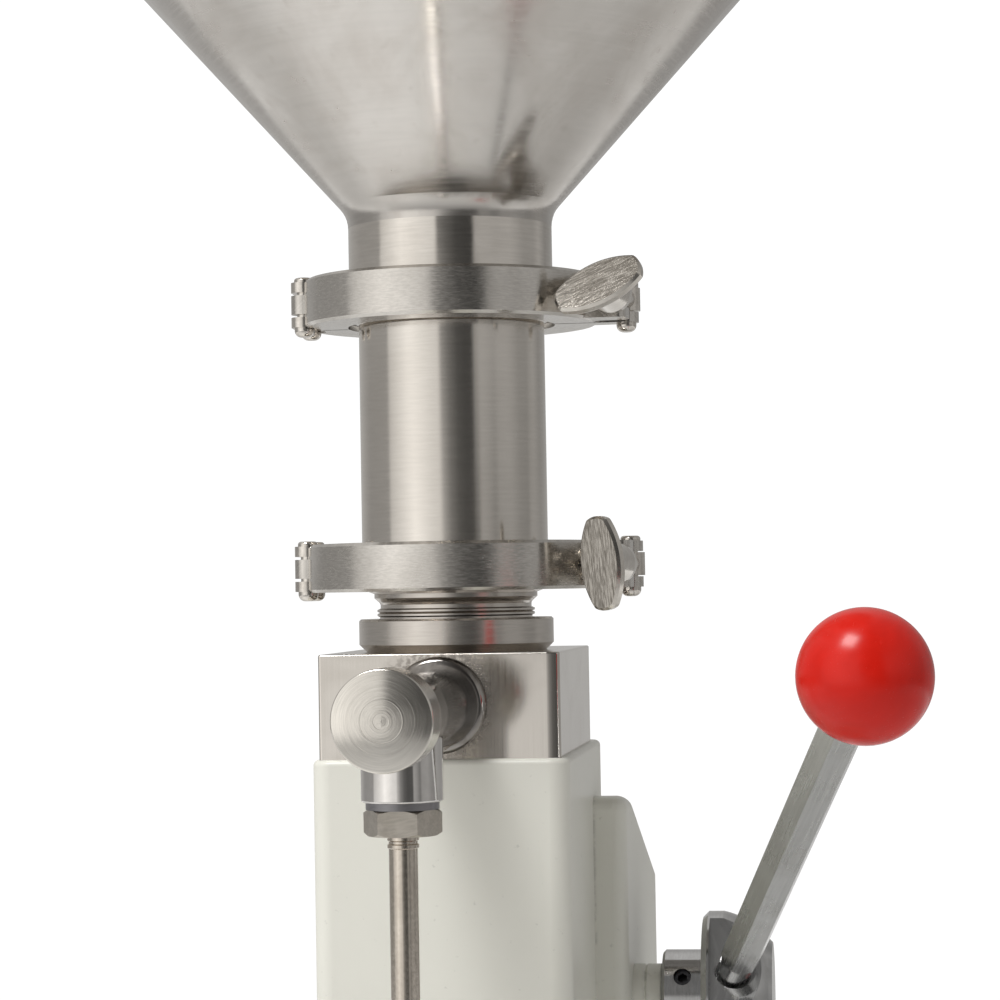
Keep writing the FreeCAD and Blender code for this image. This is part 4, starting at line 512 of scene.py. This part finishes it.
def studio_world():
    """A light tent: a bright left side, a dark gap round the camera and a grey right side.

    The camera itself sees plain white behind the object."""
    world = bpy.data.worlds.new("studio")
    bpy.context.scene.world = world
    world.use_nodes = True
    tree = world.node_tree
    tree.nodes.clear()

    def add(kind, *inputs, **settings):
        made = tree.nodes.new(kind)
        for key, value in settings.items():
            setattr(made, key, value)
        for socket, value in zip(made.inputs, inputs):
            if isinstance(value, bpy.types.NodeSocket):
                tree.links.new(value, socket)
            else:
                socket.default_value = value
        return made

    def wall(share, stops):
        ramp = add("ShaderNodeValToRGB", share)
        elements = ramp.color_ramp.elements
        elements.remove(elements[1])
        elements[0].position = 0.0
        for index, (degrees, brightness) in enumerate(stops):
            stop = elements[0] if index == 0 else elements.new((degrees + 180.0) / 360.0)
            stop.color = (brightness, brightness * 0.985, brightness * 0.96, 1.0)
        return ramp.outputs[0]

    def blend(share, first, second):
        made = add("ShaderNodeMix", data_type="RGBA")
        tree.links.new(share, made.inputs[0])
        tree.links.new(first, made.inputs[6])
        tree.links.new(second, made.inputs[7])
        return made.outputs[2]

    direction = add("ShaderNodeTexCoord").outputs["Generated"]
    parts = add("ShaderNodeSeparateXYZ", direction)
    front = add("ShaderNodeMath", parts.outputs["Y"], -1.0, operation="MULTIPLY")
    azimuth = add("ShaderNodeMath", parts.outputs["X"], front.outputs[0], operation="ARCTAN2")
    share = add("ShaderNodeMapRange", azimuth.outputs[0], -math.pi, math.pi, 0.0, 1.0)
    rise = add("ShaderNodeMapRange", parts.outputs["Z"], -0.01, 0.13, 0.0, 1.0)
    height = add("ShaderNodeMapRange", parts.outputs["Z"], 0.35, 0.85, 0.0, 1.0,
                 interpolation_type="SMOOTHSTEP")
    low, high, ceiling = (wall(share.outputs[0], stops)
                          for stops in (WALL_LOW, WALL_HIGH, CEILING))
    walls = blend(rise.outputs[0], low, high)
    room = add("ShaderNodeBackground", blend(height.outputs[0], walls, ceiling))
    plain = add("ShaderNodeBackground", (1.0, 1.0, 1.0, 1.0), 1.05)
    sees = add("ShaderNodeLightPath").outputs["Is Camera Ray"]
    choice = add("ShaderNodeMixShader", sees, room.outputs[0], plain.outputs[0])
    add("ShaderNodeOutputWorld", choice.outputs[0])


def softbox(name, position, target, side, power):
    """A square soft light that faces a target."""
    light = bpy.data.lights.new(name, "AREA")
    light.shape = "SQUARE"
    light.size = side
    light.energy = power
    lamp = bpy.data.objects.new(name, light)
    bpy.context.scene.collection.objects.link(lamp)
    lamp.location = position
    lamp.rotation_mode = "QUATERNION"
    lamp.rotation_quaternion = (Vector(target) - Vector(position)).to_track_quat("-Z", "Y")


def studio_floor():
    """A round pale floor: painted shade in front, a glowing pool of light on the left, and a
    glowing white rim behind.
    """
    bm = bmesh.new()
    bmesh.ops.create_circle(bm, cap_ends=True, segments=96, radius=FLOOR_RADIUS)
    mesh = bpy.data.meshes.new("floor")
    bm.to_mesh(mesh)
    bm.free()
    floor = bpy.data.objects.new("floor", mesh)
    bpy.context.scene.collection.objects.link(floor)
    f = Finish("white_sweep", (0.8, 0.8, 0.8), roughness=0.7)
    fibres = f.noise(f.place, scale=320.0, detail=3.0)
    pale = f.mixed(f.remap(fibres, 0.3, 0.7, 0.0, 1.0), (0.80, 0.80, 0.795), (0.84, 0.84, 0.835))
    # Painted shade: the floor's colour turns grey towards the front.
    clear_of_painted_shade = f.remap(f.part_of_place("Y"), *PAINTED_FRONT_SHADE, 0.0, 1.0)
    f.set("Base Color", f.mixed(clear_of_painted_shade, (0.52, 0.52, 0.52), pale))
    _, radius, _ = f.cylindrical("Z", PUMP_AXIS)
    away = f.vector("LENGTH", f.vector("SUBTRACT", f.place, LIGHT_POOL))
    rim = f.maths("MULTIPLY", clear_of_painted_shade, f.remap(radius, 0.7, FLOOR_RADIUS, 0.0, 0.43))
    pool = f.remap(away, 0.10, 0.55, 0.24, 0.02)
    f.set("Emission Color", (1.0, 1.0, 1.0, 1.0))
    f.set("Emission Strength", f.maths("ADD", rim, pool))
    mesh.materials.append(f.done())


def photo_camera():
    """The camera stands at the front, a little to the lever side, and leans by under a degree."""
    level = math.cos(CAMERA_PITCH)
    ahead = Vector((-math.sin(CAMERA_YAW) * level, math.cos(CAMERA_YAW) * level,
                    math.sin(CAMERA_PITCH)))
    right = ahead.cross(AXES["Z"]).normalized()
    up = right.cross(ahead)
    tilted_right = right * math.cos(CAMERA_ROLL) + up * math.sin(CAMERA_ROLL)
    tilted_up = up * math.cos(CAMERA_ROLL) - right * math.sin(CAMERA_ROLL)
    data = bpy.data.cameras.new("camera")
    data.sensor_width = 36.0
    data.lens = LENS
    data.clip_start, data.clip_end = 0.05, 30.0
    camera = bpy.data.objects.new("camera", data)
    bpy.context.scene.collection.objects.link(camera)
    turn = Matrix((tilted_right, tilted_up, -ahead)).transposed().to_4x4()
    camera.matrix_world = Matrix.Translation(Vector(CAMERA_PLACE)) @ turn
    bpy.context.scene.camera = camera


studio_world()
studio_floor()
softbox("key", KEY_PLACE, BALL_CENTRE, KEY_SIDE, KEY_POWER)
photo_camera()
bpy.context.scene.view_settings.view_transform = "Standard"
